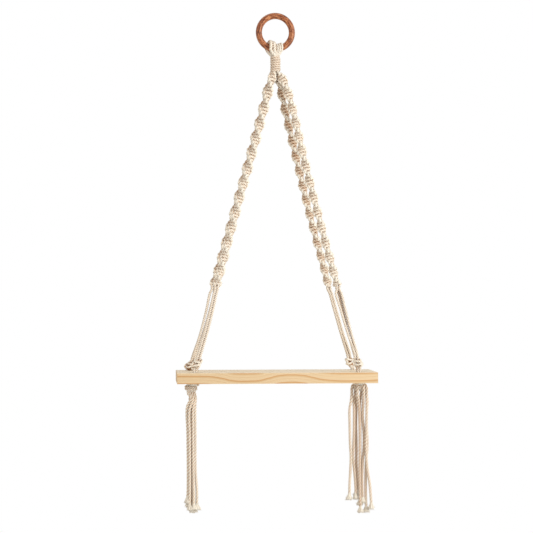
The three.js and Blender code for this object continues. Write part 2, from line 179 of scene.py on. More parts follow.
def carried_frame(line: Array, guide: Array) -> tuple[Array, Array]:
    """Two directions square to a line that don't turn about it on the way.

    A first pair follows the guide. The angle that it turns through from point to point, next to
    a pair carried without turning, is added up and taken back out.

    Args:
        line: Points, one row each.
        guide: Direction that the first pair's normal leans to, not along the line.

    Returns:
        The normal and the direction square to it and to travel, for each point.
    """
    travel = directions(line)
    guide = np.broadcast_to(guide, travel.shape)
    normal = unit(guide - np.sum(guide * travel, axis=1, keepdims=True) * travel)
    turn_axis = np.cross(travel[:-1], travel[1:])
    cosine = np.sum(travel[:-1] * travel[1:], axis=1, keepdims=True)
    swept = np.cross(turn_axis, normal[:-1])
    carried = normal[:-1] + swept + np.cross(turn_axis, swept) / (1 + cosine)
    sine = np.sum(np.cross(carried, normal[1:]) * travel[1:], axis=1)
    level = np.sum(carried * normal[1:], axis=1)
    back = -np.concatenate([[0.0], np.cumsum(np.arctan2(sine, level))])[:, None]
    steady = normal * np.cos(back) + np.cross(travel, normal) * np.sin(back)
    return steady, np.cross(travel, steady)


def bundle_middle(lines: list[Array], top: float, bottom: float) -> Array:
    """Middle of some hanging cords: the mean of their places at each height.

    Args:
        lines: The cords.
        top: Height at which they start side by side.
        bottom: Lowest height that is worked out.

    Returns:
        Points from the top down.
    """
    height, beyond = np.linspace(top, bottom, 80), 2.0
    hanging = [line[(line[:, 2] < top + beyond) & (line[:, 2] > bottom - beyond)] for line in lines]
    across = np.mean([rows_at(-height, -line[:, 2], line[:, :2]) for line in hanging], axis=0)
    return np.column_stack([across, height])


def closeness(grid: Array, line: Array, middle: Array, reach: float, fade: float) -> Array:
    """How deep each point of a cord lies in its bundle.

    Args:
        grid: The cord's points by ring and column.
        line: The cord's own line.
        middle: The bundle's middle.
        reach: Distance from the middle at which the value has fallen to 0.
        fade: Distance over which it falls from 1.

    Returns:
        Values from 0 to 1, in the order of the grid.
    """
    core = rows_at(-line[:, 2], -middle[:, 2], middle[:, :2])
    away = np.linalg.norm(grid[:, :, :2] - core[:, None], axis=2)
    return np.clip((reach - away) / fade, 0, 1)


def touching(grid: Array, line: Array, axis: int) -> Array:
    """How squarely each point of a cord faces the neighbours that touch it along one axis.

    Args:
        grid: The cord's points by ring and column.
        line: The cord's own line.
        axis: Number of the axis.

    Returns:
        Values from 0 to 1, in the order of the grid.
    """
    own = grid - line[:, None]
    squarely = np.abs(own[..., axis]) / np.linalg.norm(own, axis=2)
    return np.clip((squarely - TOUCHING_FROM) / (1 - TOUCHING_FROM), 0, 1)


def deepened(groove_shade: Array, recess_shade: Array | float) -> Array:
    """Painted shade of the grooves with painted shade of recesses added: what is left to 1 shrinks
    by the added share.
    """
    return 1 - (1 - groove_shade) * (1 - recess_shade)


def placed(name: str, data: bpy.types.ID) -> bpy.types.Object:
    """Makes an object of a mesh, camera or lamp and puts it at the scene's origin."""
    made = bpy.data.objects.new(name, data)
    bpy.context.scene.collection.objects.link(made)
    return made


def store(mesh: bpy.types.Mesh, name: str, values: Array) -> None:
    """Stores a number or a vector at each point of a mesh, for its material to read."""
    kind, key = ("FLOAT_VECTOR", "vector") if values.ndim == 2 else ("FLOAT", "value")
    stored = mesh.attributes.new(name, kind, "POINT")
    stored.data.foreach_set(key, values.astype(np.float32).ravel())


@dataclass
class Shell:
    """Closed tubes gathered for one mesh, with the values that its material reads.

    laid is each point's place in the cord before it was bent, in millimetres, and groove_shade is
    the share of painted shade: 0 on a ply's crest and 1 between two plies, more where shade is painted
    into recesses.
    """

    END_GROOVE: ClassVar[float] = 0.5
    points: list[Array] = field(default_factory=list)
    laid: list[Array] = field(default_factory=list)
    groove_shade: list[Array] = field(default_factory=list)
    quads: list[Array] = field(default_factory=list)
    tris: list[Array] = field(default_factory=list)
    count: int = 0

    def add_tubes(self, grid: Array, laid: Array, groove_shade: Array) -> "Shell":
        """Adds tubes and closes both ends of each with a fan round the middle of its last ring.

        Args:
            grid: Points by tube, ring and column.
            laid: Place in the straight cord, in the same order.
            groove_shade: Share of painted shade, in the same order.

        Returns:
            This shell.
        """
        tubes, rings, columns = grid.shape[:3]
        index = self.count + np.arange(tubes * rings * columns).reshape(tubes, rings, columns)
        ahead = np.roll(index, -1, axis=2)
        first = self.count + index.size + np.arange(tubes)[:, None] + np.zeros((1, columns), int)
        last = first + tubes
        self.quads.append(np.stack(
            [index[:, :-1], ahead[:, :-1], ahead[:, 1:], index[:, 1:]], axis=-1).reshape(-1, 4))
        self.tris.append(np.stack([first, ahead[:, 0], index[:, 0]], axis=-1).reshape(-1, 3))
        self.tris.append(np.stack([last, index[:, -1], ahead[:, -1]], axis=-1).reshape(-1, 3))
        for store, values in ((self.points, grid), (self.laid, laid)):
            store.extend([values.reshape(-1, 3), values[:, 0].mean(1), values[:, -1].mean(1)])
        # The caps at the ends of each tube get a fixed middle share of painted shade.
        self.groove_shade.extend([groove_shade.ravel(), np.full(2 * tubes, self.END_GROOVE)])
        self.count += index.size + 2 * tubes
        return self

    def add_cord(self, surface: Surface, recess_shade: Array | float = 0.0) -> "Shell":
        """Adds a cord's surface, with painted shade of recesses added to that of its grooves, and
        returns the shell.
        """
        grid, laid, groove_shade = surface
        return self.add_tubes(grid[None], laid[None], deepened(groove_shade, recess_shade)[None])

    def build(self, name: str) -> bpy.types.Object:
        """Makes the mesh and its object, in metres.

        Args:
            name: Name of the piece.

        Returns:
            The object, at the origin.
        """
        quads, tris = np.concatenate(self.quads), np.concatenate(self.tris)
        mesh = bpy.data.meshes.new(name)
        mesh.vertices.add(self.count)
        mesh.vertices.foreach_set("co", (np.concatenate(self.points) * MM).ravel())
        mesh.loops.add(quads.size + tris.size)
        mesh.loops.foreach_set("vertex_index", np.concatenate([quads.ravel(), tris.ravel()]))
        mesh.polygons.add(len(quads) + len(tris))
        starts = np.concatenate([4 * np.arange(len(quads)), quads.size + 3 * np.arange(len(tris))])
        mesh.polygons.foreach_set("loop_start", starts)
        mesh.polygons.foreach_set("use_smooth", np.ones(len(starts), bool))
        store(mesh, "laid", np.concatenate(self.laid))
        store(mesh, "groove_shade", np.concatenate(self.groove_shade))
        mesh.update(calc_edges=True)
        return placed(name, mesh)


@dataclass(frozen=True)
class Cord:
    """Three-ply twisted cotton cord. Its plies' crests stand out over the mean diameter.

    calm is the share by which the painted shade in the grooves between the plies is paler, as
    on a cord drawn tight.
    """

    diameter: float = 4.2
    fullness: float = 1.12
    lay: float = 13.0
    plies: int = 3
    ply_share: float = 0.57
    step: float = 0.85
    columns: int = 12
    calm: float = 0.0

    def surface(self, line: Array, guide: Array, start: float = 0.0,
                press: Array | None = None) -> Surface:
        """Works out the cord's surface along a line.

        A ring of the cord is the outline of three round plies. At an angle from the middle of
        the nearest ply, its radius is the ply's distance from the cord's middle times the
        cosine, plus the root of the ply's radius squared less that distance times the sine
        squared. The ring turns once in each lay length.

        Args:
            line: Points at even steps along the cord.
            guide: Direction that isn't along the line.
            start: Length of the same cord before this line, which sets its twist.
            press: Direction in which the cord is pressed wider, for each point, as long as the
                share that it gains. Square to it the cord loses half that share.

        Returns:
            Points by ring and column, their places in the straight cord, and shares of painted
            shade in the grooves.
        """
        normal, across = carried_frame(line, guide)
        along = start + arc_length(line)
        angle = 2 * math.pi * np.arange(self.columns) / self.columns
        half_ply = math.pi / self.plies
        from_ply = (angle + half_ply) % (2 * half_ply) - half_ply
        crest = self.fullness * self.diameter / 2
        ply = self.ply_share * crest
        offset = crest - ply
        radius = offset * np.cos(from_ply) + np.sqrt(ply**2 - (offset * np.sin(from_ply))**2)
        turned = angle[None, :] + (2 * math.pi / self.lay) * along[:, None]
        out = radius[None, :, None] * (
            np.cos(turned)[..., None] * normal[:, None] + np.sin(turned)[..., None] * across[:, None])
        if press is not None:
            gain = np.linalg.norm(press, axis=1)[:, None, None]
            wide = press[:, None] / np.maximum(gain, 1e-9)
            level = 1 - np.abs(np.sum(directions(line)[:, None] * wide, axis=2, keepdims=True))
            lift = np.sum(out * wide, axis=2, keepdims=True) * wide
            out = out + level * gain * (1.5 * lift - 0.5 * out)
        grid = line[:, None] + out
        laid = np.stack(np.broadcast_arrays(
            (radius * np.cos(angle))[None], (radius * np.sin(angle))[None], along[:, None]), axis=-1)
        # Painted shade: full in the grooves between the plies, none on their crests.
        depth = (1 - self.calm) * (radius.max() - radius) / np.ptp(radius)
        return grid, laid, np.broadcast_to(depth, turned.shape)

    def wrap(self, shell: Shell, line: Array, guide: Array, start: float = 0.0) -> Shell:
        """Lays the cord along a line and adds it to a shell, which it returns."""
        return shell.add_cord(self.surface(line, guide, start))


# Sizes that several pieces share

@dataclass(frozen=True)
class Sizes:
    """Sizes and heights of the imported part, in millimetres."""

    ring_outer: float = 71.0
    ring_section: float = 11.2
    tight_cord: float = 3.8
    gathering_radius: float = 7.6
    gathering_top: float = -66.5
    gathering_bottom: float = -98.25
    sinnet_top: float = -98.55
    sinnet_drop: float = 384.5
    board_length: float = 356.0
    board_top: float = -636.05
    board_thickness: float = 19.0
    hole_x: float = 146.0
    hole_y: float = 38.0
    under_x: float = 152.0
    under_run: float = -658.75
    tassel_top: float = -674.0

    @property
    def ring_radius(self) -> float:
        """Radius of the ring at the middle of its section."""
        return (self.ring_outer - self.ring_section) / 2

    @property
    def ring_middle(self) -> float:
        """Height of the ring's middle."""
        return self.ring_section / 2 - self.ring_radius


SIZES = Sizes()
TIGHT_CALM = 0.5
DROP_SHARES = (0.0, 0.043, 0.17, 0.3835, 0.654, 0.906, 1.0)
FRONT_DEPTH_SHARES = (0.121, 0.21, 0.29, 0.416, 0.571, 0.71, 0.774)
BACK_DEPTH_SHARES = (0.121, 0.24, 0.29, 0.416, 0.571, 0.71, 0.768)


@dataclass(frozen=True)
class Corner:
    """One corner of the board, with the route of the knotted length that carries it.

    beads are the drops at which the length shows its wide face to the viewer. lean, which is how
    far out its top, middle and bottom lie in millimetres, rise and knot_turn place the stop
    knot. spread, splay and bow, in cord diameters, part the plain cords and bend them inwards.
    """

    side: Side
    depth: Depth
    side_shares: tuple[float, ...]
    beads: tuple[float, ...]
    lean: tuple[float, float, float]
    rise: float
    knot_turn: float
    spread: float
    splay: tuple[float, float, float, float]
    bow: float = 0.0

    @property
    def name(self) -> str:
        """Name of the corner, as in the part's node names."""
        return f"{self.depth.name}_{self.side.name}".lower()

    @property
    def hole(self) -> Array:
        """Middle of the hole at the board's top."""
        return np.array([self.side.value * SIZES.hole_x, self.depth.value * SIZES.hole_y,
                         SIZES.board_top])

    def route(self) -> Array:
        """Middle line of the knotted length, from the gathering down.

        Returns:
            Points a quarter of a millimetre apart.
        """
        front = self.depth is Depth.FRONT
        depth_shares = FRONT_DEPTH_SHARES if front else BACK_DEPTH_SHARES
        places = np.stack([
            self.side.value * SIZES.hole_x * np.array(self.side_shares),
            self.depth.value * SIZES.hole_y * np.array(depth_shares),
            SIZES.sinnet_top - SIZES.sinnet_drop * np.array(DROP_SHARES)], axis=1)
        return smooth_line(places, 0.25)

    def knot_place(self, height_share: float) -> Array:
        """Middle of the stop knot at a share of its height.

        Args:
            height_share: 0 at its bottom and 1 at its top.

        Returns:
            The place.
        """
        lean = float(np.interp(height_share, (0.0, 0.4, 1.0), self.lean[::-1]))
        rise = StopKnot.height * (self.rise - 1 + height_share)
        return self.hole + np.array([self.side.value * lean, 0.0, rise])


CORNERS = (
    Corner(Side.LEFT, Depth.FRONT, (0.0315, 0.057, 0.143, 0.2945, 0.493, 0.668, 0.736),
           (36, 66, 94, 121, 147, 175, 200.5, 226, 253, 279.5, 306.5, 331.5, 357.5, 380),
           (-6.5, -1.5, -1.0), 1.58, 0.0, 1.0, (0.0, 0.0, 0.1, 0.1), 0.3),
    Corner(Side.LEFT, Depth.BACK, (0.0315, 0.0685, 0.154, 0.306, 0.504, 0.689, 0.759),
           (32, 63, 89, 114, 141, 169.5, 196, 222, 251, 278.5, 305.5, 331, 357, 379.5),
           (1.0, 9.5, 6.0), 1.1, 0.5, 0.9, (-0.45, 0.3, -0.3, 0.3), 0.6),
    Corner(Side.RIGHT, Depth.FRONT, (0.0315, 0.103, 0.2055, 0.331, 0.507, 0.6815, 0.75),
           (39, 66, 91.5, 116, 141, 169, 198, 225, 252, 279, 307.5, 333, 359, 384.5),
           (-4.5, 0.5, -1.0), 1.62, 0.3, 1.1, (-1.0, 0.1, 0.2, 0.0)),
    Corner(Side.RIGHT, Depth.BACK, (0.0315, 0.058, 0.132, 0.267, 0.442, 0.623, 0.687),
           (37, 65.5, 93, 122.5, 149.5, 176, 203, 228, 253, 278.5, 305.5, 330, 353, 375),
           (-7.5, -8.5, -3.0), 1.55, -0.75, 0.82, (0.0, 0.0, 0.0, 0.0)),
)


# Finishes

def linear(hex_colour: str) -> tuple[float, float, float, float]:
    """Turns a written colour into the values that the shader works with.

    Args:
        hex_colour: sRGB colour such as "#EADFC8".

    Returns:
        Linear red, green, blue and 1.
    """
    values = [int(hex_colour[i:i + 2], 16) / 255 for i in (1, 3, 5)]
    red, green, blue = (
        v / 12.92 if v <= 0.04045 else ((v + 0.055) / 1.055)**2.4 for v in values)
    return red, green, blue, 1.0


def add_node(tree: bpy.types.NodeTree, kind: str, inputs: dict | None = None,
             stops: Stops = (), **settings: object) -> bpy.types.Node:
    """Adds a node with its settings, values and links.

    Args:
        tree: Node tree of the material.
        kind: Blender's name of the node type.
        inputs: Value, socket or node for each input, by name or number. A node gives the first
            of its outputs that is in use.
        stops: Places and colours along a colour ramp, from 0 to 1.
        **settings: Properties of the node.

    Returns:
        The node.
    """
    node = tree.nodes.new(kind)
    for name, value in settings.items():
        setattr(node, name, value)
    for key, value in (inputs or {}).items():
        if isinstance(value, bpy.types.Node):
            value = next(socket for socket in value.outputs if socket.enabled)
        if isinstance(value, bpy.types.NodeSocket):
            tree.links.new(value, node.inputs[key])
        else:
            node.inputs[key].default_value = value
    for place, colour in stops:
        held = node.color_ramp.elements
        element = held[-int(place)] if place in (0, 1) else held.new(place)
        element.color = linear(colour)
    return node


def per_mm(millimetres: float) -> float:
    """Texture scale on Object coordinates whose features are that many millimetres apart."""
    return 1 / (millimetres * MM)


class Finish:
    """A finish, which gives the nodes of its own material."""

    name: str

    def shader(self, tree: bpy.types.NodeTree) -> bpy.types.Node:
        """Adds the finish's nodes and returns its shader."""
        raise NotImplementedError

    def material(self) -> bpy.types.Material:
        """Makes the material."""
        made = bpy.data.materials.new(self.name)
        made.use_nodes = True
        made.node_tree.nodes.clear()
        shader = self.shader(made.node_tree)
        add_node(made.node_tree, "ShaderNodeOutputMaterial", {"Surface": shader})
        return made


@dataclass(frozen=True)
class TwistedCotton(Finish):
    """Unbleached cotton, spun and twisted in three plies: dull and soft, with warm painted shade in
    the grooves.
    """

    name: str = "twisted_cotton"
    crest: str = "#F8F6F0"
    groove_shade: str = "#B98A50"
    worn: str = "#F6F0E3"
    hollow_shade: str = "#94480F"
    groove_shade_power: float = 1.25
    hollow_shade_from: float = 0.4
    hollow_shade_share: float = 0.5
    streak: tuple[float, float] = (0.86, 1.06)
    patch_mm: float = 24.0
    fibre_mm: float = 0.9
    fibre_length_mm: float = 6.0
    bump_mm: float = 0.12

    def shader(self, tree: bpy.types.NodeTree) -> bpy.types.Node:
        """Adds the nodes.

        The colour goes from the plies' crests to a painted shade in the grooves between them, and on
        to a painted brown shade in the deepest hollows, where little light comes. Streaks along the
        fibres break it up.

        Args:
            tree: Node tree of the material.

        Returns:
            The shader.
        """
        laid = add_node(tree, "ShaderNodeAttribute", attribute_name="laid")
        groove_shade = add_node(tree, "ShaderNodeAttribute", attribute_name="groove_shade").outputs["Fac"]
        place = add_node(tree, "ShaderNodeTexCoord").outputs["Object"]
        # Spun fibres, drawn coarser than real ones so that they show at all.
        fine = 1 / self.fibre_mm
        straight = add_node(tree, "ShaderNodeMapping", {
            "Vector": laid.outputs["Vector"], "Scale": (fine, fine, 1 / self.fibre_length_mm)})
        fibres = add_node(tree, "ShaderNodeTexNoise", {
            "Vector": straight, "Scale": 1.0, "Detail": 3.0, "Roughness": 0.6})
        patches = add_node(tree, "ShaderNodeTexNoise", {
            "Vector": place, "Scale": per_mm(self.patch_mm), "Detail": 2.0})
        tone = add_node(tree, "ShaderNodeMix", {
            "Factor": patches, "A": linear(self.crest), "B": linear(self.worn)}, data_type="RGBA")
        # Painted shade: the colour darkens to a warm brown towards the grooves, and on to a deeper
        # brown in the hollows deep in the bundles, where shade falls.
        depth = add_node(tree, "ShaderNodeMath", {0: groove_shade, 1: self.groove_shade_power},
                         operation="POWER")
        shade = add_node(tree, "ShaderNodeMix", {
            "Factor": depth, "A": tone, "B": linear(self.groove_shade)}, data_type="RGBA")
        inner = add_node(tree, "ShaderNodeMapRange", {
            "Value": groove_shade, "From Min": self.hollow_shade_from, "To Max": self.hollow_shade_share})
        shade = add_node(tree, "ShaderNodeMix", {
            "Factor": inner, "A": shade, "B": linear(self.hollow_shade)}, data_type="RGBA")
        streak = add_node(tree, "ShaderNodeMapRange", {
            "Value": fibres, "From Min": 0.3, "From Max": 0.7,
            "To Min": self.streak[0], "To Max": self.streak[1]})
        colour = add_node(tree, "ShaderNodeMix", {"Factor": 1.0, "A": shade, "B": streak},
                          data_type="RGBA", blend_type="MULTIPLY")
        bump = add_node(tree, "ShaderNodeBump", {
            "Height": fibres, "Distance": self.bump_mm * MM, "Strength": 0.8})
        return add_node(tree, "ShaderNodeBsdfPrincipled", {
            "Base Color": colour, "Normal": bump, "Roughness": 0.95, "Specular IOR Level": 0.2,
            "Sheen Weight": 0.15, "Sheen Roughness": 0.5})


@dataclass(frozen=True)
class PlanedPine(Finish):
    """Planed, unfinished pine: pale early wood with thin ochre late-wood lines, hardly shiny.

    heart is a place on the tree's middle line, in millimetres. sweep gives how far the growth
    rings are lifted along the board, as shares of sweep_mm. pale_and_sheen_mm is how deep the
    top's paler colour goes, paler wood with a painted sheen over it, and end_mm how deep the
    darker ends.
    """

    name: str = "planed_pine"
    early: str = "#D7BD98"
    late: str = "#C49564"
    faint: str = "#CFAE84"
    pale: str = "#F0E3CC"
    dusk: str = "#CAA97D"
    ring_mm: float = 9.6
    heart: Place = (0.0, 36.0, -745.6)
    sweep_mm: float = 8.5
    waver_mm: float = 1.5
    waver_length_mm: float = 60.0
    waver_width_mm: float = 90.0
    fibre_mm: float = 0.6
    fibre_length_mm: float = 40.0
    bump_mm: float = 0.05
    streak: tuple[float, float] = (0.93, 1.04)
    pale_and_sheen_mm: tuple[float, float] = (0.5, 0.05)
    paler_and_sheened: float = 0.8
    end_mm: float = 0.9
    darkened: float = 0.55
    sweep: tuple[tuple[float, float], ...] = (
        (0.0, 0.84), (0.12, 0.82), (0.22, 0.5), (0.33, 0.06), (0.45, 0.5), (0.52, 0.93),
        (0.565, 1.0), (0.61, 0.93), (0.67, 0.62), (0.77, 0.11), (0.86, 0.03), (1.0, 0.11))

    def shader(self, tree: bpy.types.NodeTree) -> bpy.types.Node:
        """Adds the nodes.

        The growth rings are cylinders round a heart line that runs along the board, and a curve
        of the way along the board lifts and drops them. Late wood darkens slowly towards each
        ring's end and stops sharply, and a faint line lies between. The top is paler: paler wood with
        a painted sheen over it, as light at a grazing angle gives. The ends are darker.

        Args:
            tree: Node tree of the material.

        Returns:
            The shader.
        """
        place = add_node(tree, "ShaderNodeTexCoord").outputs["Object"]
        parts = add_node(tree, "ShaderNodeSeparateXYZ", {0: place})
        half = SIZES.board_length / 2 * MM
        way = add_node(tree, "ShaderNodeMapRange", {
            "Value": parts.outputs["X"], "From Min": -half, "From Max": half})
        sweep = add_node(tree, "ShaderNodeFloatCurve", {"Value": way})
        curve = sweep.mapping.curves[0]
        for share, height in self.sweep[1:-1]:
            curve.points.new(share, height)
        curve.points[0].location = self.sweep[0]
        curve.points[len(self.sweep) - 1].location = self.sweep[-1]
        sweep.mapping.update()
        wide, fine = per_mm(self.waver_width_mm), per_mm(self.fibre_mm)
        waver_at = add_node(tree, "ShaderNodeMapping", {
            "Vector": place, "Scale": (per_mm(self.waver_length_mm), wide, wide)})
        waver = add_node(tree, "ShaderNodeTexNoise", {
            "Vector": waver_at, "Scale": 1.0, "Detail": 2.0})
        centred = add_node(tree, "ShaderNodeMapping", {
            "Vector": place, "Location": tuple(-x * MM for x in self.heart)}, vector_type="POINT")
        across = add_node(tree, "ShaderNodeVectorMath", {0: centred, 1: (0.0, 1.0, 1.0)},
                          operation="MULTIPLY")
        radius = add_node(tree, "ShaderNodeVectorMath", {0: across}, operation="LENGTH")
        swept = add_node(tree, "ShaderNodeMath", {0: sweep, 1: -self.sweep_mm * MM, 2: radius},
                         operation="MULTIPLY_ADD")
        shifted = add_node(tree, "ShaderNodeMath", {0: waver, 1: self.waver_mm * MM, 2: swept},
                           operation="MULTIPLY_ADD")
        rings = add_node(tree, "ShaderNodeMath", {0: shifted, 1: per_mm(self.ring_mm)},
                         operation="MULTIPLY")
        share = add_node(tree, "ShaderNodeMath", {0: rings}, operation="FRACT")
        wood = add_node(tree, "ShaderNodeValToRGB", {"Fac": share}, stops=(
            (0, self.early), (0.34, self.early), (0.41, self.faint), (0.45, self.early),
            (0.6, self.early), (0.8, self.dusk), (0.88, self.late), (0.94, self.late),
            (1, self.early)))
        fibre_at = add_node(tree, "ShaderNodeMapping", {
            "Vector": place, "Scale": (per_mm(self.fibre_length_mm), fine, fine)})
        fibres = add_node(tree, "ShaderNodeTexNoise", {
            "Vector": fibre_at, "Scale": 1.0, "Detail": 3.0})
        streak = add_node(tree, "ShaderNodeMapRange", {
            "Value": fibres, "From Min": 0.3, "From Max": 0.7,
            "To Min": self.streak[0], "To Max": self.streak[1]})
        grained = add_node(tree, "ShaderNodeMix", {"Factor": 1.0, "A": wood, "B": streak},
                           data_type="RGBA", blend_type="MULTIPLY")
        # Painted sheen on the top, over paler wood: the colour blends to a pale one near the top face.
        pale_and_sheen_heights = [(SIZES.board_top - depth) * MM for depth in self.pale_and_sheen_mm]
        on_top = add_node(tree, "ShaderNodeMapRange", {
            "Value": parts.outputs["Z"], "From Min": pale_and_sheen_heights[0], "From Max": pale_and_sheen_heights[1],
            "To Max": self.paler_and_sheened})
        paler_and_sheened = add_node(tree, "ShaderNodeMix", {
            "Factor": on_top, "A": grained, "B": linear(self.pale)}, data_type="RGBA")
        from_middle = add_node(tree, "ShaderNodeMath", {0: parts.outputs["X"]},
                               operation="ABSOLUTE")
        at_end = add_node(tree, "ShaderNodeMapRange", {
            "Value": from_middle, "From Min": half - self.end_mm * MM, "From Max": half,
            "To Max": self.darkened})
        colour = add_node(tree, "ShaderNodeMix", {
            "Factor": at_end, "A": paler_and_sheened, "B": linear(self.dusk)}, data_type="RGBA")
        bump = add_node(tree, "ShaderNodeBump", {
            "Height": fibres, "Distance": self.bump_mm * MM, "Strength": 0.5})
        return add_node(tree, "ShaderNodeBsdfPrincipled", {
            "Base Color": colour, "Normal": bump, "Roughness": 0.58, "Specular IOR Level": 0.4})


@dataclass(frozen=True)
class OiledHardwood(Finish):
    """Turned and oiled hardwood: red-brown with dark streaks, fine pores and a soft gloss."""

    name: str = "oiled_hardwood"
    light: str = "#CC8C5E"
    middle: str = "#9C5630"
    dark: str = "#4F200C"
    pore: str = "#43200F"
    grain_mm: float = 1.6
    grain_length_mm: float = 10.0
    pore_mm: float = 0.55
    pore_length_mm: float = 4.0
    pore_depth_mm: float = 0.08

    def shader(self, tree: bpy.types.NodeTree) -> bpy.types.Node:
        """Adds the nodes. The grain runs round the ring, along its own attribute.

        Args:
            tree: Node tree of the material.

        Returns:
            The shader.
        """
        laid = add_node(tree, "ShaderNodeAttribute", attribute_name="laid").outputs["Vector"]
        noises = []
        for width, length, detail in ((self.grain_mm, self.grain_length_mm, (4.0, 0.7)),
                                      (self.pore_mm, self.pore_length_mm, (2.0, 0.5))):
            at = add_node(tree, "ShaderNodeMapping", {
                "Vector": laid, "Scale": (1 / width, 1 / width, 1 / length)})
            noises.append(add_node(tree, "ShaderNodeTexNoise", {
                "Vector": at, "Scale": 1.0, "Detail": detail[0], "Roughness": detail[1]}))
        grain, pores = noises
        wood = add_node(tree, "ShaderNodeValToRGB", {"Fac": grain}, stops=(
            (0, self.light), (0.4, self.light), (0.5, self.middle), (0.6, self.dark),
            (1, self.dark)))
        open_pores = add_node(tree, "ShaderNodeMapRange", {
            "Value": pores, "From Min": 0.56, "From Max": 0.68, "To Max": 0.75})
        colour = add_node(tree, "ShaderNodeMix", {
            "Factor": open_pores, "A": wood, "B": linear(self.pore)}, data_type="RGBA")
        bump = add_node(tree, "ShaderNodeBump", {
            "Height": pores, "Distance": self.pore_depth_mm * MM, "Strength": 0.5}, invert=True)
        return add_node(tree, "ShaderNodeBsdfPrincipled", {
            "Base Color": colour, "Normal": bump, "Roughness": 0.45, "Specular IOR Level": 0.4})


@dataclass(frozen=True)
class StudioPaper(Finish):
    """Matt white paper under the shelf: plain white to the camera, diffuse to all else."""

    name: str = "studio_paper"
    colour: str = "#F4F4F2"

    def shader(self, tree: bpy.types.NodeTree) -> bpy.types.Node:
        """Adds the nodes and returns the shader."""
        ray = add_node(tree, "ShaderNodeLightPath")
        matt = add_node(tree, "ShaderNodeBsdfDiffuse", {"Color": linear(self.colour)})
        glow = add_node(tree, "ShaderNodeEmission", {"Color": WHITE})
        return add_node(tree, "ShaderNodeMixShader", {
            0: ray.outputs["Is Camera Ray"], 1: matt, 2: glow})


@dataclass
class Finishes:
    """The finishes of the shelf, made once."""

    cotton: bpy.types.Material = field(default_factory=lambda: TwistedCotton().material())
    pine: bpy.types.Material = field(default_factory=lambda: PlanedPine().material())
    hardwood: bpy.types.Material = field(default_factory=lambda: OiledHardwood().material())

    def dress(self, piece: bpy.types.Object, slot: Slot, node: str = "",
              body: str = "") -> bpy.types.Object:
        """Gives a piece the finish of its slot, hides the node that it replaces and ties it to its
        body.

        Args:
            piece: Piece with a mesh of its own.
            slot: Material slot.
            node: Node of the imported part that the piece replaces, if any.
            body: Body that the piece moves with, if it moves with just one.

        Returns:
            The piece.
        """
        finish = {Slot.CORD: self.cotton, Slot.BOARD: self.pine, Slot.RING: self.hardwood}[slot]
        piece.data.materials.append(finish)
        if body:
            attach(piece, body)
        if node:
            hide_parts(node)
        LOG.info("%s: %d faces, %s", piece.name, len(piece.data.polygons), finish.name)
        return piece


# Pieces

@dataclass
class HangingRing:
    """Turned wooden ring."""

    finishes: Finishes
    around: int = 160
    section: int = 40

    def build(self) -> bpy.types.Object:
        """Makes the ring: a circle of the section's radius carried round the ring's circle.

        Returns:
            The ring.
        """
        turn = np.linspace(0, 2 * math.pi, self.around, endpoint=False)[:, None]
        angle = np.linspace(0, 2 * math.pi, self.section, endpoint=False)[None, :]
        tube = SIZES.ring_section / 2
        out = SIZES.ring_radius + tube * np.cos(angle)
        grid = np.stack(np.broadcast_arrays(
            out * np.sin(turn), tube * np.sin(angle), SIZES.ring_middle - out * np.cos(turn)), axis=-1)
        laid = np.stack(np.broadcast_arrays(
            tube * np.cos(angle), tube * np.sin(angle), SIZES.ring_radius * turn), axis=-1)
        index = np.arange(turn.size * angle.size).reshape(turn.size, angle.size)
        ahead, beside = np.roll(index, -1, axis=0), np.roll(index, -1, axis=1)
        quads = np.stack([index, beside, np.roll(beside, -1, axis=0), ahead], axis=-1)
        mesh = bpy.data.meshes.new("turned_ring")
        mesh.from_pydata((grid.reshape(-1, 3) * MM).tolist(), [], quads.reshape(-1, 4).tolist())
        mesh.polygons.foreach_set("use_smooth", np.ones(len(mesh.polygons), bool))
        store(mesh, "laid", laid.reshape(-1, 3))
        return self.finishes.dress(placed("turned_ring", mesh), Slot.RING, "hanging_ring", "ring")


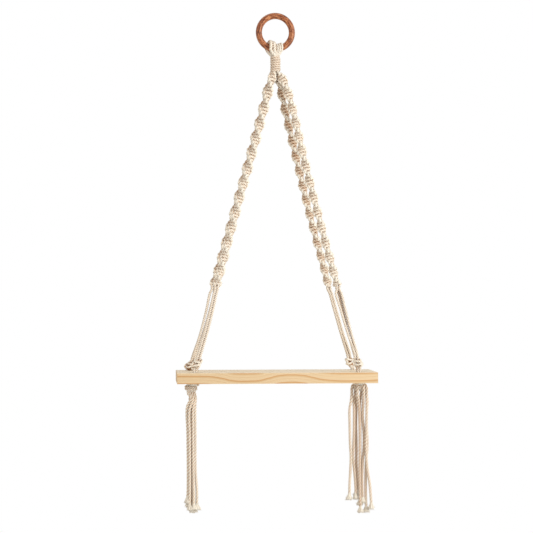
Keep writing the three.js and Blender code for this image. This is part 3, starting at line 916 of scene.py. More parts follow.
@dataclass
class RingLoops:
    """The cords' folded middles over the ring, with both legs of each down into the winding.

    Six lie side by side on the ring and two thicker ones lean over them. A foot is where a leg
    enters the winding. Its turn about the winding's middle grows with the loop's sideways place.
    press, recess_shade and gathered_radius hold a value for the six and one for the two.
    recess_shade is the painted shade where a loop touches the loops beside it.
    """

    finishes: Finishes
    on_ring: int = 6
    on_top: int = 2
    gap: float = 0.3
    row_shift: float = -1.1
    slant: float = 3.0
    row_reach: float = math.radians(135)
    top_shift: float = -8.6
    top_feet: float = 10.5
    top_spacing: float = 6.6
    top_reach: float = math.radians(108)
    top_cord: float = 5.0
    press: tuple[float, float] = (0.02, 0.3)
    recess_shade: tuple[float, float] = (0.5, 0.75)
    round_points: int = 25
    leg_bottom: float = -71.0
    leg_run: float = 2.0
    twist_step: float = 5.0
    gathered_radius: tuple[float, float] = (4.6, 5.8)
    foot_turn: float = math.radians(72)
    outermost: float = 11.0
    neck_height: float = 2.5
    neck_shares: tuple[float, float] = (0.55, 0.6)

    def over_ring(self, radius: float, offset: float, reach: float) -> Array:
        """Stretch of one loop round the ring's section.

        The cord stays at one distance from the section's middle while it goes round it, and its
        sideways place moves with the sine of that turn.

        Args:
            radius: Distance from the section's middle to the cord's.
            offset: Sideways place at the loop's top.
            reach: Turn to each side of the top.

        Returns:
            Points from the back of the ring to its front.
        """
        angle = np.linspace(reach, -reach, self.round_points)
        cord_at = (SIZES.ring_section + SIZES.tight_cord) / 2 + self.gap
        inner = SIZES.ring_radius - cord_at * np.cos(angle)
        turn = (offset - self.slant * np.sin(angle)) / inner
        out = SIZES.ring_radius - radius * np.cos(angle)
        return np.stack([out * np.sin(turn), radius * np.sin(angle),
                         SIZES.ring_middle - out * np.cos(turn)], axis=1)

    def leg(self, end: Array, on_top: bool) -> list[Place]:
        """Places of one leg, from the ring down.

        Args:
            end: Where the loop leaves the ring.
            on_top: Whether the loop is one of the pair over the others.

        Returns:
            Three places.
        """
        share = (end[0] + self.top_feet * on_top) / self.outermost
        angle, radius = self.foot_turn * share, self.gathered_radius[on_top]
        x, y = radius * math.sin(angle), math.copysign(radius, end[1]) * math.cos(angle)
        across, deep = self.neck_shares
        neck = (across * x + (1 - across) * end[0], deep * y + (1 - deep) * end[1],
                SIZES.gathering_top + self.neck_height)
        return [neck, (x, y, self.leg_bottom + self.leg_run), (x, y, self.leg_bottom)]

    def loop(self, number: int, radius: float, offset: float, reach: float) -> bpy.types.Object:
        """Makes one loop with its two legs.

        Args:
            number: Number of the loop's node.
            radius: Distance from the ring's section to the cord.
            offset: Sideways place at the loop's top.
            reach: Turn to each side of the top before the legs begin.

        Returns:
            The loop.
        """
        on_top = number > self.on_ring
        over = self.over_ring(radius, offset, reach)
        places = np.vstack([self.leg(over[0], on_top)[::-1], over, self.leg(over[-1], on_top)])
        cord = Cord(diameter=self.top_cord if on_top else SIZES.tight_cord, calm=TIGHT_CALM)
        line = smooth_line(places, cord.step)
        surface = cord.surface(line, RIGHT, self.twist_step * number,
                               self.press[on_top] * RIGHT + 0 * line)
        # Painted shade where the loop touches the loops beside it.
        recess_shade = self.recess_shade[on_top] * touching(surface[0], line, 0)
        piece = Shell().add_cord(surface, recess_shade).build(f"cord_loop_{number}")
        self.finishes.dress(piece, Slot.CORD, f"ring_loop_{number}")
        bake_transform(piece)
        return piece

    def build(self) -> None:
        """Makes the row of loops on the ring and the pair over it."""
        first = (SIZES.ring_section + SIZES.tight_cord) / 2 + self.gap
        for i in range(self.on_ring):
            offset = self.row_shift + (i - (self.on_ring - 1) / 2) * (SIZES.tight_cord + self.gap)
            self.loop(i + 1, first, offset, self.row_reach)
        for i in range(self.on_top):
            offset = self.top_shift + (i - (self.on_top - 1) / 2) * self.top_spacing
            self.loop(self.on_ring + i + 1, first + SIZES.tight_cord, offset, self.top_reach)


def tucked_ends(angle: Array, over: float, inmost: float) -> Array:
    """Radius of a wound cord, as a share: its two ends turn in to tuck under the winding.

    Args:
        angle: Rising angle along the cord.
        over: Angle over which each end turns in.
        inmost: Share left at the very end.

    Returns:
        One share for each angle.
    """
    level = np.clip(np.minimum(angle - angle[0], angle[-1] - angle) / over, 0, 1)
    return inmost + (1 - inmost) * level


@dataclass
class Gathering:
    """Cords drawn together under the ring, and the cord wound round them."""

    finishes: Finishes
    turns: float = 7.0
    wobble_outwards: float = 0.6
    tuck_turn: float = 0.8
    tuck_share: float = 0.62
    press: float = 0.2
    shade: float = 0.3
    recess_shade: float = 0.4
    core_cords: int = 7
    core_spread: float = 3.7
    core_rise: float = 1.5
    core_step: float = 1.4
    twist_step: float = 3.0

    def winding(self) -> bpy.types.Object:
        """Makes the winding: a level circle that rises evenly as it goes round.

        Returns:
            The winding.
        """
        cord = Cord(diameter=SIZES.tight_cord, calm=TIGHT_CALM)
        angle = np.linspace(0, 2 * math.pi * self.turns, 600)
        low = SIZES.gathering_bottom + SIZES.tight_cord / 2
        high = SIZES.gathering_top - SIZES.tight_cord / 2
        wobble = waves(angle, (0.18, 2.3, 0.0), (0.12, 5.1, 1.0))
        radius = SIZES.gathering_radius + self.wobble_outwards * wobble
        radius *= tucked_ends(angle, self.tuck_turn, self.tuck_share)
        height = np.linspace(low, high, len(angle)) + wobble
        line = resampled(np.stack([radius * np.cos(angle), radius * np.sin(angle), height], axis=1),
                         cord.step)
        surface = cord.surface(line, UP, press=self.press * UP + 0 * line)
        # Painted shade: an even share over the whole winding, and more where its turns touch.
        recess_shade = self.shade + self.recess_shade * touching(surface[0], line, 2)
        piece = Shell().add_cord(surface, recess_shade).build("gathering_winding")
        return self.finishes.dress(piece, Slot.CORD, "gathering_wrap", "gathering")

    def core(self) -> bpy.types.Object:
        """Makes the bundle inside the winding: one cord in the middle and six round it.

        Returns:
            The bundle.
        """
        cord = Cord(diameter=SIZES.tight_cord)
        shell = Shell()
        for i in range(self.core_cords):
            out = self.core_spread if i else 0.0
            angle = 2 * math.pi * i / (self.core_cords - 1)
            ends = np.array([[out * math.cos(angle), out * math.sin(angle), z]
                             for z in (SIZES.gathering_top + self.core_rise, SIZES.gathering_bottom)])
            cord.wrap(shell, resampled(ends, self.core_step), RIGHT, self.twist_step * i)
        piece = shell.build("gathered_cords")
        return self.finishes.dress(piece, Slot.CORD, "gathering_core", "gathering")

    def build(self) -> None:
        """Makes both pieces."""
        self.winding()
        self.core()


@dataclass
class StopKnot:
    """Square knot on a hole of the board. Two cords are tied round the two in the middle.

    ways holds the places of the four cords from the top down, as shares of the knot's half
    width, half thickness and height.
    """

    height: ClassVar[float] = 14.5
    half_width: float = 6.1
    half_thickness: float = 3.6
    ways: tuple[tuple[Place, ...], ...] = (
        ((-0.75, 0.5, 0.93), (-0.98, 0.35, 0.82), (-0.6, 0.95, 0.76), (0.0, 1.1, 0.72),
         (0.6, 0.95, 0.67), (0.98, 0.1, 0.54), (0.6, 0.95, 0.37), (0.0, 1.1, 0.31),
         (-0.6, 0.95, 0.26), (-1.0, 0.1, 0.16), (-0.6, -0.3, 0.04)),
        ((0.7, -0.3, 0.95), (1.08, 0.3, 0.86), (1.08, 0.7, 0.72), (0.85, -0.5, 0.62),
         (0.5, -1.0, 0.64), (0.0, -1.1, 0.68), (-0.6, -0.95, 0.74), (-1.1, 0.0, 0.7),
         (-1.08, 0.75, 0.5), (-1.08, 0.4, 0.3), (-0.85, -0.6, 0.22), (-0.4, -1.05, 0.25),
         (0.4, -1.05, 0.3), (1.0, -0.3, 0.34), (1.05, 0.45, 0.22), (0.7, 0.3, 0.06)),
        ((-0.3, -0.1, 0.9), (-0.32, 0.0, 0.5), (-0.3, -0.1, 0.1)),
        ((0.3, 0.1, 0.9), (0.32, 0.0, 0.5), (0.3, 0.1, 0.1)))

    def places(self, way: tuple[Place, ...], corner: Corner) -> Array:
        """Places that one cord passes through in the knot of a corner, from the top down."""
        local = np.array(way)
        sine, cosine = math.sin(corner.knot_turn), math.cos(corner.knot_turn)
        wide, deep = np.array([cosine, -sine, 0.0]), np.array([-sine, -cosine, 0.0])
        middle = np.stack([corner.knot_place(share) for share in local[:, 2]])
        return (middle + self.half_width * local[:, :1] * wide
                + self.half_thickness * local[:, 1:2] * deep)


def nearest_order(starts: list[Array], ends: list[Array]) -> tuple[int, ...]:
    """Number of the end that each start goes to, so that all together have the least to go."""
    return min(itertools.permutations(range(len(ends))), key=lambda chosen: sum(
        np.linalg.norm(starts[i][:2] - ends[j][:2]) for i, j in enumerate(chosen)))


@dataclass
class CornerCords:
    """The four cords of one corner, each followed from the winding down to the knot under the
    board: two are knotted round the other two, all four run on plain, tie the stop knot, pass
    through the hole and turn under the board to its middle.

    wider_above is the factor on the knotted length's width in its upper part, and fuller_below
    the one on its thickness in its lower part. They pass over between the shares in changes.
    recess_shade, for the front and the back, edge and between paint shade into the hollows inside
    the length, at its cords' flanks and between plain cords; the back lengths, which lie in the
    front ones' shadow, get more. The spans give where a value goes from full to nothing, and
    calmed is the share by which the painted shade in the knotted cords' own grooves fades.
    """

    corner: Corner
    finishes: Finishes
    width: float = 17.3
    thickness: float = 9.6
    wider_above: float = 1.07
    fuller_below: float = 1.14
    changes: tuple[float, float] = (0.4, 0.75)
    knots_per_bead: int = 5
    knot_drop: float = 5.3
    flattened: float = 0.42
    recess_shade: tuple[float, float] = (0.38, 0.84)
    hollow_span: tuple[float, float] = (3.1, 6.6)
    edge: float = 0.68
    facing_span: tuple[float, float] = (-0.1, 0.6)
    knotted_from: float = 3.0
    knotted_fade: float = 4.0
    calmed: float = 0.5
    between: float = 0.38
    between_reach: float = 4.9
    between_fade: float = 2.2
    start_share: float = 0.62
    full_size_at: float = 12.0
    filler_offset: float = 2.7
    filler_step: float = 1.5
    lead: float = 3.0
    tuck: float = 6.0
    guide: Place = (0.31, 0.95, 0.02)
    cord: Cord = field(default_factory=lambda: Cord(calm=0.22))
    square: tuple[tuple[int, int], ...] = ((-1, -1), (1, -1), (-1, 1), (1, 1))
    plain_share: float = 0.57
    in_hole: float = 1.9
    run_lift: float = 1.1
    under_bend: float = 4.2
    under_row: tuple[float, ...] = (-5.6, -1.9, 1.9, 5.6)
    under_lift: tuple[float, ...] = (0.3, -0.3, 0.3, -0.3)
    half_knot: tuple[Place, ...] = (
        (0.0, 1.0, 0.0), (0.4, 0.88, 0.02), (0.68, 0.3, 0.0), (0.84, -0.2, 0.05),
        (0.97, -0.35, 0.27), (1.0, 0.05, 0.5), (0.92, 0.5, 0.72), (0.74, 0.78, 0.92),
        (0.68, 0.4, 1.1), (0.64, -0.3, 1.15), (0.38, -0.85, 1.05))

    def tied(self, first: float, last: float) -> Array:
        """Way of one tied cord in a straight length, as sideways, depth and knot number.

        In each half knot a cord crosses the middle ones, goes in under the other tied cord,
        comes out at the edge, and runs down over the end of the other cord's next crossing
        before it turns under that and to the other side. Half a turn about the length's middle
        and one knot further down, the same places come again.

        Args:
            first: Knot number at the start.
            last: Knot number at the end.

        Returns:
            Dense points, in millimetres, millimetres and knots.
        """
        half = np.array(self.half_knot)
        index = np.arange(math.floor(first) - 1, math.ceil(last) + 2)
        sign = np.where(index % 2, -1.0, 1.0)[:, None]
        places = np.stack([sign * half[:, 0], sign * half[:, 1], half[:, 2] + index[:, None]],
                          axis=-1).reshape(-1, 3)
        half_width, half_thickness = ((size - self.cord.diameter) / 2
                                      for size in (self.width, self.thickness))
        scale = np.array([half_width, half_thickness, self.knot_drop])
        line = smooth_line(places * scale, 0.5) / (1, 1, self.knot_drop)
        return line[(line[:, 2] >= first) & (line[:, 2] <= last)]

    def knotted(self, strand: int) -> Array:
        """Line of one cord through the knotted length.

        The length's flat section turns left-handed by half a turn from bead to bead. The two
        tied cords cross it half a turn apart. The two in the middle lie side by side.

        Args:
            strand: 0 and 1 are the tied cords, 2 and 3 the middle ones.

        Returns:
            Dense points from the winding to the end of the knotted length.
        """
        route = self.corner.route()
        along, travel = arc_length(route), directions(route)
        total = along[-1]
        beads = np.interp(np.array(self.corner.beads), SIZES.sinnet_top - route[:, 2], along)
        spare, number = 3, np.arange(len(beads))
        count = np.concatenate([[-spare], number, [number[-1] + spare]])
        before, after = spare * (beads[1] - beads[0]), spare * (beads[-1] - beads[-2])
        beads = np.concatenate([[beads[0] - before], beads, [beads[-1] + after]])
        first, last = self.knots_per_bead * np.interp((0.0, total - self.lead), beads, count)
        side = 1 - 2 * (strand % 2)
        if strand < 2:
            line = self.tied(first, last)
            s = np.interp(line[:, 2] / self.knots_per_bead, count, beads)
            loose = 1 + waves(s, (0.04, 0.31, 2 * strand), (0.03, 0.83, strand))
            u, v = side * loose * line[:, :2].T
        else:
            s = np.linspace(0.0, total - self.lead, int(total / self.filler_step))
            u, v = np.full(len(s), side * self.filler_offset), np.zeros(len(s))
        size = self.start_share + (1 - self.start_share) * np.clip(s / self.full_size_at, 0, 1)
        down = np.interp(s, np.array(self.changes) * total, (0.0, 1.0))
        u = u * size * (self.wider_above + (1 - self.wider_above) * down)
        v = v * size * (1 + (self.fuller_below - 1) * down)
        turn = -math.pi * np.interp(s, beads, count)
        heading = rows_at(s, along, travel)
        across = unit(RIGHT - heading[:, :1] * heading)
        through = np.cross(heading, across)
        sideways = (u * np.cos(turn) - v * np.sin(turn))[:, None]
        forward = (u * np.sin(turn) + v * np.cos(turn))[:, None]
        line = rows_at(s, along, route) + across * sideways + through * forward
        return np.vstack([line[0] * (0.5, 0.5, 1) + self.tuck * UP, line])

    def plain_places(self, target: Array, splay: float) -> Array:
        """Places of one plain cord between the knotted length and the stop knot.

        Args:
            target: Sideways and depth place among the four.
            splay: How much further sideways the cord hangs in its upper part, in diameters.

        Returns:
            Places from the top down.
        """
        start, end = self.corner.route()[-1], self.corner.knot_place(1.0)
        width, spread = self.cord.diameter, self.corner.spread
        bow = -self.corner.side.value * self.corner.bow
        rows = ((0.0, 1.0, 0.0, 0.0), (0.02, 1.0, 0.0, -0.8), (0.09, spread, 1.0, 0.0),
                (0.3, spread, 0.8, 0.0), (0.65, spread, 0.3, 0.0), (1.0, 1.0, 0.0, 1.0))
        return np.array([
            start + (end - start) * share + np.array([
                target[0] * wide + width * (splay * part + bow * math.sin(math.pi * share**0.8)),
                target[1], width * rise])
            for share, wide, part, rise in rows])

    def hole_places(self, slot: int) -> Array:
        """Places of one cord from the stop knot through the hole to the knot under the board.

        Args:
            slot: Place among the four cords.

        Returns:
            Places from the top down.
        """
        inwards, bend = -self.corner.depth.value, self.under_bend
        hole_x, hole_y = self.corner.hole[:2]
        x, y = self.corner.hole[:2] + self.in_hole * np.array(self.square[slot])
        flat, lift = self.under_row[slot], self.under_lift[slot]
        under_x = self.corner.side.value * SIZES.under_x
        run = SIZES.under_run + self.run_lift
        return np.array([
            (x, y, SIZES.board_top + 1.5),
            (x, y, SIZES.board_top - SIZES.board_thickness + 2.0),
            (hole_x + 0.8 * flat, hole_y + inwards * (0.35 * bend - 0.7 * lift),
             run + 0.3 * bend + 0.7 * lift),
            (hole_x + flat, hole_y + inwards * 2 * bend, run + lift),
            ((hole_x + under_x) / 2 + flat, hole_y / 2, run + lift),
            (under_x + flat, -inwards * 9.0, run + lift),
            (under_x + flat, -inwards * 4.4, run - 2.4),
            (under_x + flat, -inwards * 3.0, run - 6.5),
            (under_x + flat, -inwards * 2.6, SIZES.tassel_top + 2.0)])

    def strand_lines(self) -> list[Array]:
        """Lines of the four cords, matched so that none has far to go between stretches.

        Returns:
            Four lines at even steps, from the winding to the knot under the board.
        """
        corner, square = self.corner, np.array(self.square, float)
        tops = [self.knotted(strand) for strand in range(4)]
        plain = self.plain_share * self.cord.diameter * square
        order = nearest_order([top[-1] - corner.route()[-1] for top in tops], plain)
        tie = StopKnot()
        knots = [tie.places(way, corner) for way in tie.ways]
        ties = nearest_order([plain[j] for j in order],
                             [knot[0] - corner.knot_place(1.0) for knot in knots])
        holes = nearest_order([knots[j][-1] for j in ties], self.in_hole * square + corner.hole[:2])
        return [smooth_line(np.vstack([
            tops[i], self.plain_places(plain[order[i]], corner.splay[order[i]]), knots[ties[i]],
            self.hole_places(holes[i])]), self.cord.step) for i in range(4)]

    def hollows(self, grid: Array, line: Array, middle: Array, heading: Array) -> Array:
        """Painted shade of each point of a knotted cord: how far in it lies, and how far it faces in.

        Args:
            grid: The cord's points by ring and column.
            line: The cord's own line.
            middle: Middle of the knotted length or knot beside each point of the line.
            heading: Direction of the length there.

        Returns:
            Values from 0 to 1, in the order of the grid.
        """
        depth = self.recess_shade[self.corner.depth is Depth.BACK]
        out = grid - middle[:, None]
        out = out - np.sum(out * heading[:, None], axis=2, keepdims=True) * heading[:, None]
        away = np.linalg.norm(out, axis=2)
        own = grid - line[:, None]
        facing = np.sum(own * out, axis=2) / (np.linalg.norm(own, axis=2) * away + 1e-6)
        inmost, outmost = self.hollow_span
        inwards, outwards = self.facing_span
        return deepened(depth * np.clip((outmost - away) / (outmost - inmost), 0, 1),
                        self.edge * np.clip((outwards - facing) / (outwards - inwards), 0, 1))

    def build(self) -> None:
        """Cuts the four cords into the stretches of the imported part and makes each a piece."""
        name, route = self.corner.name, self.corner.route()
        travel = directions(route)
        end, top, foot = levels = (SIZES.sinnet_top - SIZES.sinnet_drop,
                                   self.corner.knot_place(1.0)[2], self.corner.knot_place(0.0)[2])
        knotted, knot, through = Shell(), Shell(), Shell()
        lines = self.strand_lines()
        bundle = bundle_middle(lines, end, top)
        for i, line in enumerate(lines):
            height = line[:, 2]
            heading, middle = (rows_at(-height, -route[:, 2], rows) for rows in (travel, route))
            at_knot = (height < top) & (height > foot)
            middle[at_knot] = np.stack([
                self.corner.knot_place(share) for share in (height[at_knot] - foot) / (top - foot)])
            inside = np.clip((height - end - self.knotted_from) / self.knotted_fade, 0, 1)[:, None]
            tied = np.maximum(inside, at_knot[:, None])
            grid, laid, groove_shade = self.cord.surface(
                line, np.array(self.guide), press=self.flattened * inside * heading)
            groove_shade = groove_shade * (1 - self.calmed * tied)
            loose = closeness(grid, line, bundle, self.between_reach, self.between_fade)
            # Painted shade: in the hollows of the knotted length and the knot, and between the plain
            # cords.
            recess_shade = np.maximum(tied * self.hollows(grid, line, middle, heading),
                                (1 - tied) * self.between * loose)
            surface = grid, laid, deepened(groove_shade, recess_shade)
            cuts = [0, *(int(np.argmax(height < level)) for level in levels), len(line)]
            plain = Shell()
            for k, shell in enumerate((knotted, plain, knot, through)):
                rings = slice(cuts[k], cuts[k + 1] + 1)
                shell.add_tubes(*(values[None, rings] for values in surface))
            self.finishes.dress(plain.build(f"{name}_plain_cord_{i + 1}"), Slot.CORD,
                                f"{name}_cord_{i + 1}", "shelf")
        spiral = knotted.build(f"{name}_spiral_knots")
        self.finishes.dress(spiral, Slot.CORD, f"knotted_length_{name}")
        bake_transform(spiral)
        self.finishes.dress(knot.build(f"{name}_square_knot"), Slot.CORD,
                            f"{name}_stop_knot", "shelf")
        self.finishes.dress(through.build(f"{name}_cords_through_board"), Slot.CORD,
                            f"{name}_hole_cords", "shelf")


@dataclass
class Board:
    """Pine board with a hole at each corner, its edges and rims eased."""

    finishes: Finishes
    eased: float = 1.1
    steps: int = 3
    flat_under: float = math.radians(2)
    sharp_over: float = math.radians(40)
    creased_over: float = math.radians(28)

    def build(self) -> bpy.types.Object:
        """Makes the board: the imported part's shape with each sharp edge rounded off.

        Returns:
            The board.
        """
        mesh = bpy.data.meshes.new("drilled_board")
        work = bmesh.new()
        work.from_mesh(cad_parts["pine_board"].data)
        bmesh.ops.remove_doubles(work, verts=work.verts, dist=0.01 * MM)
        bmesh.ops.dissolve_limit(work, angle_limit=self.flat_under, verts=work.verts,
                                 edges=work.edges)
        sharp = [edge for edge in work.edges if edge.calc_face_angle(0.0) > self.sharp_over]
        bmesh.ops.bevel(work, geom=sharp, offset=self.eased * MM, segments=self.steps,
                        profile=0.5, affect="EDGES", clamp_overlap=True)
        bmesh.ops.triangulate(work, faces=[face for face in work.faces if len(face.verts) > 4])
        bmesh.ops.recalc_face_normals(work, faces=work.faces)
        work.to_mesh(mesh)
        work.free()
        mesh.materials.clear()
        mesh.polygons.foreach_set("use_smooth", np.ones(len(mesh.polygons), bool))
        mesh.set_sharp_from_angle(angle=self.creased_over)
        return self.finishes.dress(placed("drilled_board", mesh), Slot.BOARD, "pine_board", "shelf")


@dataclass
class UnderKnot:
    """Cord tied round the eight cords that meet under one end of the board."""

    side: Side
    finishes: Finishes
    radius: float = 9.4
    start: float = 0.2
    turns: float = 2.2
    pitch: float = 3.5
    tuck_turn: float = 0.7
    tuck_share: float = 0.6
    tilt: float = 0.05
    top: float = -661.2

    def build(self) -> None:
        """Makes the tie: a circle that drops evenly as it goes round, tilted sideways."""
        cord = Cord()
        angle = self.start + np.linspace(0, 2 * math.pi * self.turns, 260)
        height = self.top - self.pitch * (angle - self.start) / (2 * math.pi)
        radius = self.radius * tucked_ends(angle, self.tuck_turn, self.tuck_share)
        x, y = radius * np.cos(angle), radius * np.sin(angle)
        line = np.stack([self.side.value * SIZES.under_x + x, y, height + self.tilt * x], axis=1)
        side = self.side.name.lower()
        piece = cord.wrap(Shell(), resampled(line, cord.step), UP).build(f"{side}_tie")
        self.finishes.dress(piece, Slot.CORD, f"{side}_under_knot", "shelf")


# Routes of the tails, as in the part's source: sideways and depth places from the knot and the
# drop below it.
LEFT_TAILS = (
    ((-6.9, -2.4, 0), (-7.2, -1.9, 25), (-6.5, -1.5, 73), (-5.7, -1.5, 139), (-6.3, -2, 182),
     (-8, -2.5, 197)),
    ((-2.3, -2.4, 0), (-3, -5, 30), (-2.8, -5, 73), (-2.2, -5, 139), (-2.4, -5.5, 182),
     (-3.4, -6, 209)),
    ((2.3, 2.4, 0), (1, -1, 28), (1.1, -1, 85), (1.2, -0.8, 139), (1.8, -1, 185), (2.2, -1, 214)),
    ((2.3, -2.4, 0), (4.2, -4.9, 26), (3.8, -5.1, 60), (4.6, -5.4, 139), (5.4, -6, 185),
     (5, -6.5, 209)),
    ((6.9, -2.4, 0), (8.1, -1.4, 22), (8.4, -1.5, 73), (8.9, -1.5, 139), (11.4, -2, 171),
     (11.9, -2.4, 209)),
    ((-6.9, 2.4, 0), (-3.8, 2.9, 28), (-3.2, 2.8, 85), (-3, 2.8, 139), (-4.2, 3.2, 182),
     (-6, 3.8, 205)),
    ((6.9, 2.4, 0), (5.2, 3.4, 28), (4.8, 3.4, 85), (4.8, 3.4, 139), (6.2, 3.8, 182),
     (6.8, 4, 214)),
    ((-2.3, 2.4, 0), (-1.7, 5.2, 10), (0.2, 6.7, 28), (0.4, 7, 85), (0.6, 7, 139), (0.8, 7.6, 182),
     (0.4, 8, 201)),
)
RIGHT_TAILS = (
    ((-6.9, -2.4, 0), (-15, -4, 15), (-17.8, -4, 32), (-17.4, -3, 60), (-16.7, -2.4, 92),
     (-15.4, -3, 117), (-16.5, -4, 142), (-17.8, -4, 166), (-18.2, -4, 194)),
    ((-6.9, 2.4, 0), (-9.5, 1.4, 20), (-9.1, 0.4, 60), (-10.2, 1.2, 102), (-10.8, 2.2, 117),
     (-9.1, 0.6, 137), (-6.3, 0, 174), (-6.8, 0, 194)),
    ((-2.3, 2.4, 0), (-4.7, 4.2, 26), (-5.1, 5.2, 52), (-4.2, 5.4, 102), (-4.3, 5.6, 126),
     (-3, 5.8, 165), (-2.5, 6, 188)),
    ((-2.3, -2.4, 0), (-0.5, -3.4, 25), (0.6, -3.8, 60), (0.6, -4, 109), (0.3, -4, 142),
     (0.7, -4, 174), (1.9, -4, 217)),
    ((2.3, -2.4, 0), (7.4, -0.8, 20), (6.4, 0.2, 43), (8.8, 0.6, 76), (8.6, 0.4, 102),
     (6.5, 0, 126), (5.4, 0.4, 158), (6.4, 1, 201)),
    ((6.9, -2.4, 0), (13.5, -3.4, 26), (13.1, -4, 52), (12.6, -5, 70), (11.6, -5.2, 93),
     (13.2, -4.2, 126), (14.9, -3.4, 142), (18.8, -3, 166), (22.4, -3, 211)),
    ((6.9, 2.4, 0), (15.6, 3, 14), (14.6, 2.4, 35), (13.9, 2, 56), (15.1, 1.8, 82),
     (15.1, 1.6, 102), (13.2, 2.2, 126), (12.3, 2.4, 150), (12.3, 2.4, 191), (13.4, 2.4, 217)),
    ((2.3, 2.4, 0), (2, 5.4, 25), (2.8, 6.4, 60), (2.8, 6.4, 102), (2.8, 6.2, 142), (3, 6.4, 174),
     (3.5, 6.6, 205)),
)


@dataclass(frozen=True)
class Fray:
    """Brush of loose fibres at the end of a tail, with a ribbed bell that fills it.

    Pairs give the least and the most that a fibre may have. bend is the power of the way down
    with which the fibres spread, and lean how far a whole brush may hang to a side.
    """

    fibres: int = 170
    root: float = 1.5
    outwards: tuple[float, float] = (0.55, 1.0)
    drop: float = 11.5
    drop_shares: tuple[float, float] = (0.75, 1.1)
    spread: float = 6.0
    spread_shares: tuple[float, float] = (0.5, 1.15)
    bend: float = 1.6
    curl: float = 0.35
    lean: float = 2.2
    thickness: float = 0.9
    thinning: float = 0.6
    grooves: tuple[float, float] = (0.0, 0.4)
    bell_neck: float = 1.9
    bell_spread_share: float = 0.72
    bell_bend: float = 1.5
    bell_rise: float = 1.0
    bell_drop_share: float = 0.86
    bell_groove_shade: float = 0.2
    rim: float = 0.93
    rim_drawn_in: float = 0.25
    ragged: float = 0.03

    def shell(self, tip: Array, heading: Array, seed: int) -> Shell:
        """Makes the brush.

        Each fibre starts inside the cord's end, leaves along it and bends outwards with a power
        of the way it has gone. It thins towards its tip.

        Args:
            tip: End of the tail.
            heading: Direction in which the tail ends.
            seed: Seed of the fibres' spread.

        Returns:
            The brush's tubes.
        """
        rng = np.random.default_rng(seed)
        count, columns = self.fibres, 3
        share = np.linspace(0, 1, 7)[None, :, None]
        angle = rng.uniform(0, 2 * math.pi, count)
        out = rng.uniform(*self.outwards, count)
        aim = np.stack([np.cos(angle), np.sin(angle), np.zeros(count)], axis=1)
        root = tip + self.root * (out[:, None] * aim - heading)
        drop = self.drop * rng.uniform(*self.drop_shares, count)[:, None, None]
        spread = self.spread * (out * rng.uniform(*self.spread_shares, count))[:, None, None]
        curl = rng.normal(0, self.curl, (count, 1, 3)) * np.sin(math.pi * share)
        lean = np.array([*rng.uniform(-self.lean, self.lean, 2), 0.0])
        line = (root[:, None] + heading * (drop + self.root) * share
                + (aim[:, None] * spread + lean) * share**self.bend + curl)
        ring = 2 * math.pi * np.arange(columns) / columns
        thin = self.thickness / 2 * (1 - self.thinning * share)
        round_fibre = np.stack([np.cos(ring), -np.sin(ring), np.zeros(columns)], axis=1)
        grid = line[:, :, None] + thin[..., None] * round_fibre
        laid = np.broadcast_to(rng.uniform(0, 50, (count, 1, 1, 3)), grid.shape) + grid - tip
        # Painted shade: each fibre takes a random share of it, and the bell inside a fixed share.
        groove_shade = np.broadcast_to(rng.uniform(*self.grooves, (count, 1, 1)), grid.shape[:3])
        bell = tip + self.bell(heading, lean, seed)
        return Shell().add_tubes(grid, laid, groove_shade).add_tubes(
            bell, bell - tip, np.full(bell.shape[:3], self.bell_groove_shade))

    def bell(self, heading: Array, lean: Array, seed: int) -> Array:
        """Bell inside the brush, whose ribbed radius grows with a power of the way down.

        Args:
            heading: Direction in which the tail ends.
            lean: How far the brush hangs to a side at its lower end.
            seed: Seed that turns the ribs.

        Returns:
            Points by tube, ring and column, from the end of the tail.
        """
        down, turn = np.linspace(0, 1, 9)[:, None], 2 * math.pi * np.arange(24)[None, :] / 24
        ribs = 1 + waves(turn, (0.13, 7, 1.7 * seed), (0.08, 11, -seed))
        wide = self.bell_neck + self.bell_spread_share * self.spread * down**self.bell_bend
        radius = wide * ribs * (1 - self.rim_drawn_in * (down > self.rim))
        round_bell = np.stack([radius * np.cos(turn), -radius * np.sin(turn), 0 * radius], axis=-1)
        fall = (self.bell_drop_share * self.drop + self.bell_rise) * down - self.bell_rise
        fall = fall * (1 - self.ragged + self.ragged * ribs)
        return (round_bell + lean * down[..., None]**self.bend + heading * fall[..., None])[None]


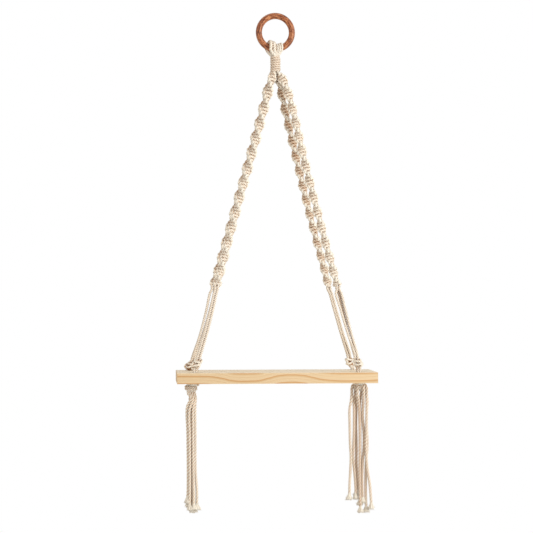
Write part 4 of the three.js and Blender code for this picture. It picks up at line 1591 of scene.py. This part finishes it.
@dataclass
class Tassel:
    """Loose tails of eight cords under one end of the board, each frayed at its end.

    left_lays are the lay lengths of the left tails, which have opened up unevenly. drape is the
    direction, in degrees, in which each right tail comes out over the tie, and over_tie holds
    its radius and drop on the way.
    """

    side: Side
    finishes: Finishes
    fray: Fray = field(default_factory=Fray)
    tuck: float = 8.0
    between: float = 0.33
    narrowed: float = 0.93
    twist_step: float = 2.7
    neck_turn: float = 0.5
    left_lays: tuple[float, ...] = (18.5, 18.4, 18.0, 18.2, 16.0, 17.5, 16.0, 18.5)
    drape: tuple[float, ...] = (193, 150, 112, 250, 298, 343, 22, 66)
    over_tie: tuple[tuple[float, float], ...] = (
        (2.6, -14.1), (5.6, -14.2), (9.8, -13.1), (12.9, -10.0), (14.0, -5.8), (14.0, 1.0))

    def cord(self, number: int) -> Cord:
        """Cord of one tail. It has opened up a little, more so in the right tassel."""
        if self.side is Side.RIGHT:
            return Cord(fullness=1.34, lay=18.5, calm=0.05)
        return Cord(fullness=1.26, lay=self.left_lays[number], calm=0.12)

    @property
    def inside(self) -> tuple[float, float]:
        """Reach and fade of the painted shade inside the tassel."""
        return (9.0, 6.0) if self.side is Side.LEFT else (19.0, 14.0)

    def top_places(self, route: Array, number: int) -> Array:
        """Places of one tail over or under the tie, before its route begins.

        The right tails come out over the tie, each in its own direction, and fall round it. The
        left ones come out under it in a narrow neck, turned by half a radian.

        Args:
            route: Sideways and depth places and drops of the route.
            number: Number of the tail, from 0.

        Returns:
            Places in the same terms.
        """
        if self.side is Side.RIGHT:
            angle = math.radians(self.drape[number])
            return np.array([(radius * math.cos(angle), radius * math.sin(angle), drop)
                             for radius, drop in self.over_tie])
        cosine, sine = math.cos(self.neck_turn), math.sin(self.neck_turn)
        top_x, top_y = route[0][:2]
        x, y = route[1][:2]
        return np.array([
            [0.8 * top_x, top_y, -self.tuck], [0.9 * top_x + 1, top_y, 1.5],
            [0.66 * (cosine * x - sine * y) + 3.4, 0.8 * (sine * x + cosine * y), 9.5]])

    def build(self) -> None:
        """Makes the eight tails and their brushes."""
        side = self.side.name.lower()
        under = self.side.value * SIZES.under_x
        routes = LEFT_TAILS if self.side is Side.LEFT else RIGHT_TAILS
        lines: list[Array] = []
        for i, route in enumerate(routes):
            route = np.array(route, float)
            if self.side is Side.LEFT:
                route[:, 0] *= self.narrowed
            places = np.vstack([self.top_places(route, i), route[1:]])
            places = places * (1, 1, -1) + (under, 0, SIZES.tassel_top)
            step = self.cord(i).step
            lines.append(smooth_line(places, step)[:-int(self.fray.drop / step)])
        middle = bundle_middle(lines, SIZES.tassel_top - 12, max(line[-1, 2] for line in lines))
        for i, line in enumerate(lines):
            cord = self.cord(i)
            surface = cord.surface(line, RIGHT, self.twist_step * i)
            # Painted shade on the tails, the more the further inside the tassel they lie.
            recess_shade = self.between * closeness(surface[0], line, middle, *self.inside)
            piece = Shell().add_cord(surface, recess_shade).build(f"{side}_loose_tail_{i + 1}")
            self.finishes.dress(piece, Slot.CORD, f"{side}_tail_{i + 1}")
            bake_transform(piece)
            seed = 40 * (self.side is Side.LEFT) + i
            fray = self.fray.shell(line[-1], directions(line)[-1], seed).build(
                f"{side}_frayed_end_{i + 1}")
            self.finishes.dress(fray, Slot.CORD, body=f"{side}_tassel")


# Studio

@dataclass
class Studio:
    """Camera at the photograph's angle, soft lamps and a white surround."""

    eye: Place = (-0.2393, -2.756, -0.4884)
    yaw: float = math.radians(-4.63)
    pitch: float = math.radians(0.85)
    lens: float = 103.6
    middle: Place = (0.0, 0.0, -0.42)
    room: str = "#FFF9F0"
    room_light: float = 0.7
    floor_reach: float = 4.0
    floor_height: float = -1.3

    def camera(self) -> None:
        """Places the camera and makes it the scene's."""
        data = bpy.data.cameras.new("camera")
        data.lens, data.sensor_width, data.clip_end = self.lens, 36.0, 50.0
        camera = placed("camera", data)
        camera.location = self.eye
        camera.rotation_euler = (math.pi / 2 + self.pitch, 0.0, self.yaw)
        bpy.context.scene.camera = camera

    def lamp(self, name: str, place: Place, size: float, power: float, colour: str) -> None:
        """Adds a square soft lamp that faces the shelf.

        Args:
            name: Name of the lamp.
            place: Its place in metres.
            size: Length of its edge in metres.
            power: Power in watts.
            colour: Colour of its light.
        """
        data = bpy.data.lights.new(name, "AREA")
        data.shape, data.size, data.energy = "SQUARE", size, power
        data.color = linear(colour)[:3]
        away = np.array(place) - np.array(self.middle)
        flat = math.hypot(away[0], away[1])
        lamp = placed(name, data)
        lamp.location = place
        lamp.rotation_euler = (math.atan2(flat, away[2]), 0.0, math.atan2(away[0], -away[1]))

    def surround(self) -> None:
        """Makes the white world and the paper floor."""
        world = bpy.data.worlds.new("white_room")
        world.use_nodes = True
        tree = world.node_tree
        tree.nodes.clear()
        ray = add_node(tree, "ShaderNodeLightPath")
        mirrored = add_node(tree, "ShaderNodeMath", {
            0: ray.outputs["Is Camera Ray"], 1: ray.outputs["Is Glossy Ray"]}, operation="MAXIMUM")
        seen = add_node(tree, "ShaderNodeMath", {0: mirrored, 1: ray.outputs["Is Transmission Ray"]},
                        operation="MAXIMUM")
        strength = add_node(tree, "ShaderNodeMapRange", {"Value": seen, "To Min": self.room_light})
        tint = add_node(tree, "ShaderNodeMix", {"Factor": seen, "A": linear(self.room), "B": WHITE},
                        data_type="RGBA")
        sky = add_node(tree, "ShaderNodeBackground", {"Color": tint, "Strength": strength})
        add_node(tree, "ShaderNodeOutputWorld", {"Surface": sky})
        bpy.context.scene.world = world
        reach, low = self.floor_reach, self.floor_height
        mesh = bpy.data.meshes.new("floor")
        mesh.from_pydata([(-reach, -reach, low), (reach, -reach, low), (reach, reach, low),
                          (-reach, reach, low)], [], [(0, 1, 2, 3)])
        mesh.materials.append(StudioPaper().material())
        placed("floor", mesh)

    def build(self) -> None:
        """Sets up camera, lamps, surround and colour view."""
        bpy.context.scene.view_settings.view_transform = "Standard"
        self.camera()
        self.lamp("key", (3.0, -2.9, 0.4), 1.5, 106.0, "#FDFFFC")
        self.lamp("fill", (-1.8, -2.2, 0.3), 1.8, 10.0, "#FFF7EC")
        self.surround()


def main() -> None:
    """Builds the shelf from the ring down; each piece's face count is logged."""
    logging.basicConfig(level=logging.INFO, format="%(name)s %(message)s")
    Studio().build()
    finishes = Finishes()
    HangingRing(finishes).build()
    RingLoops(finishes).build()
    Gathering(finishes).build()
    for corner in CORNERS:
        CornerCords(corner, finishes).build()
    Board(finishes).build()
    for side in Side:
        UnderKnot(side, finishes).build()
        Tassel(side, finishes).build()


if __name__ == "__main__":
    main()
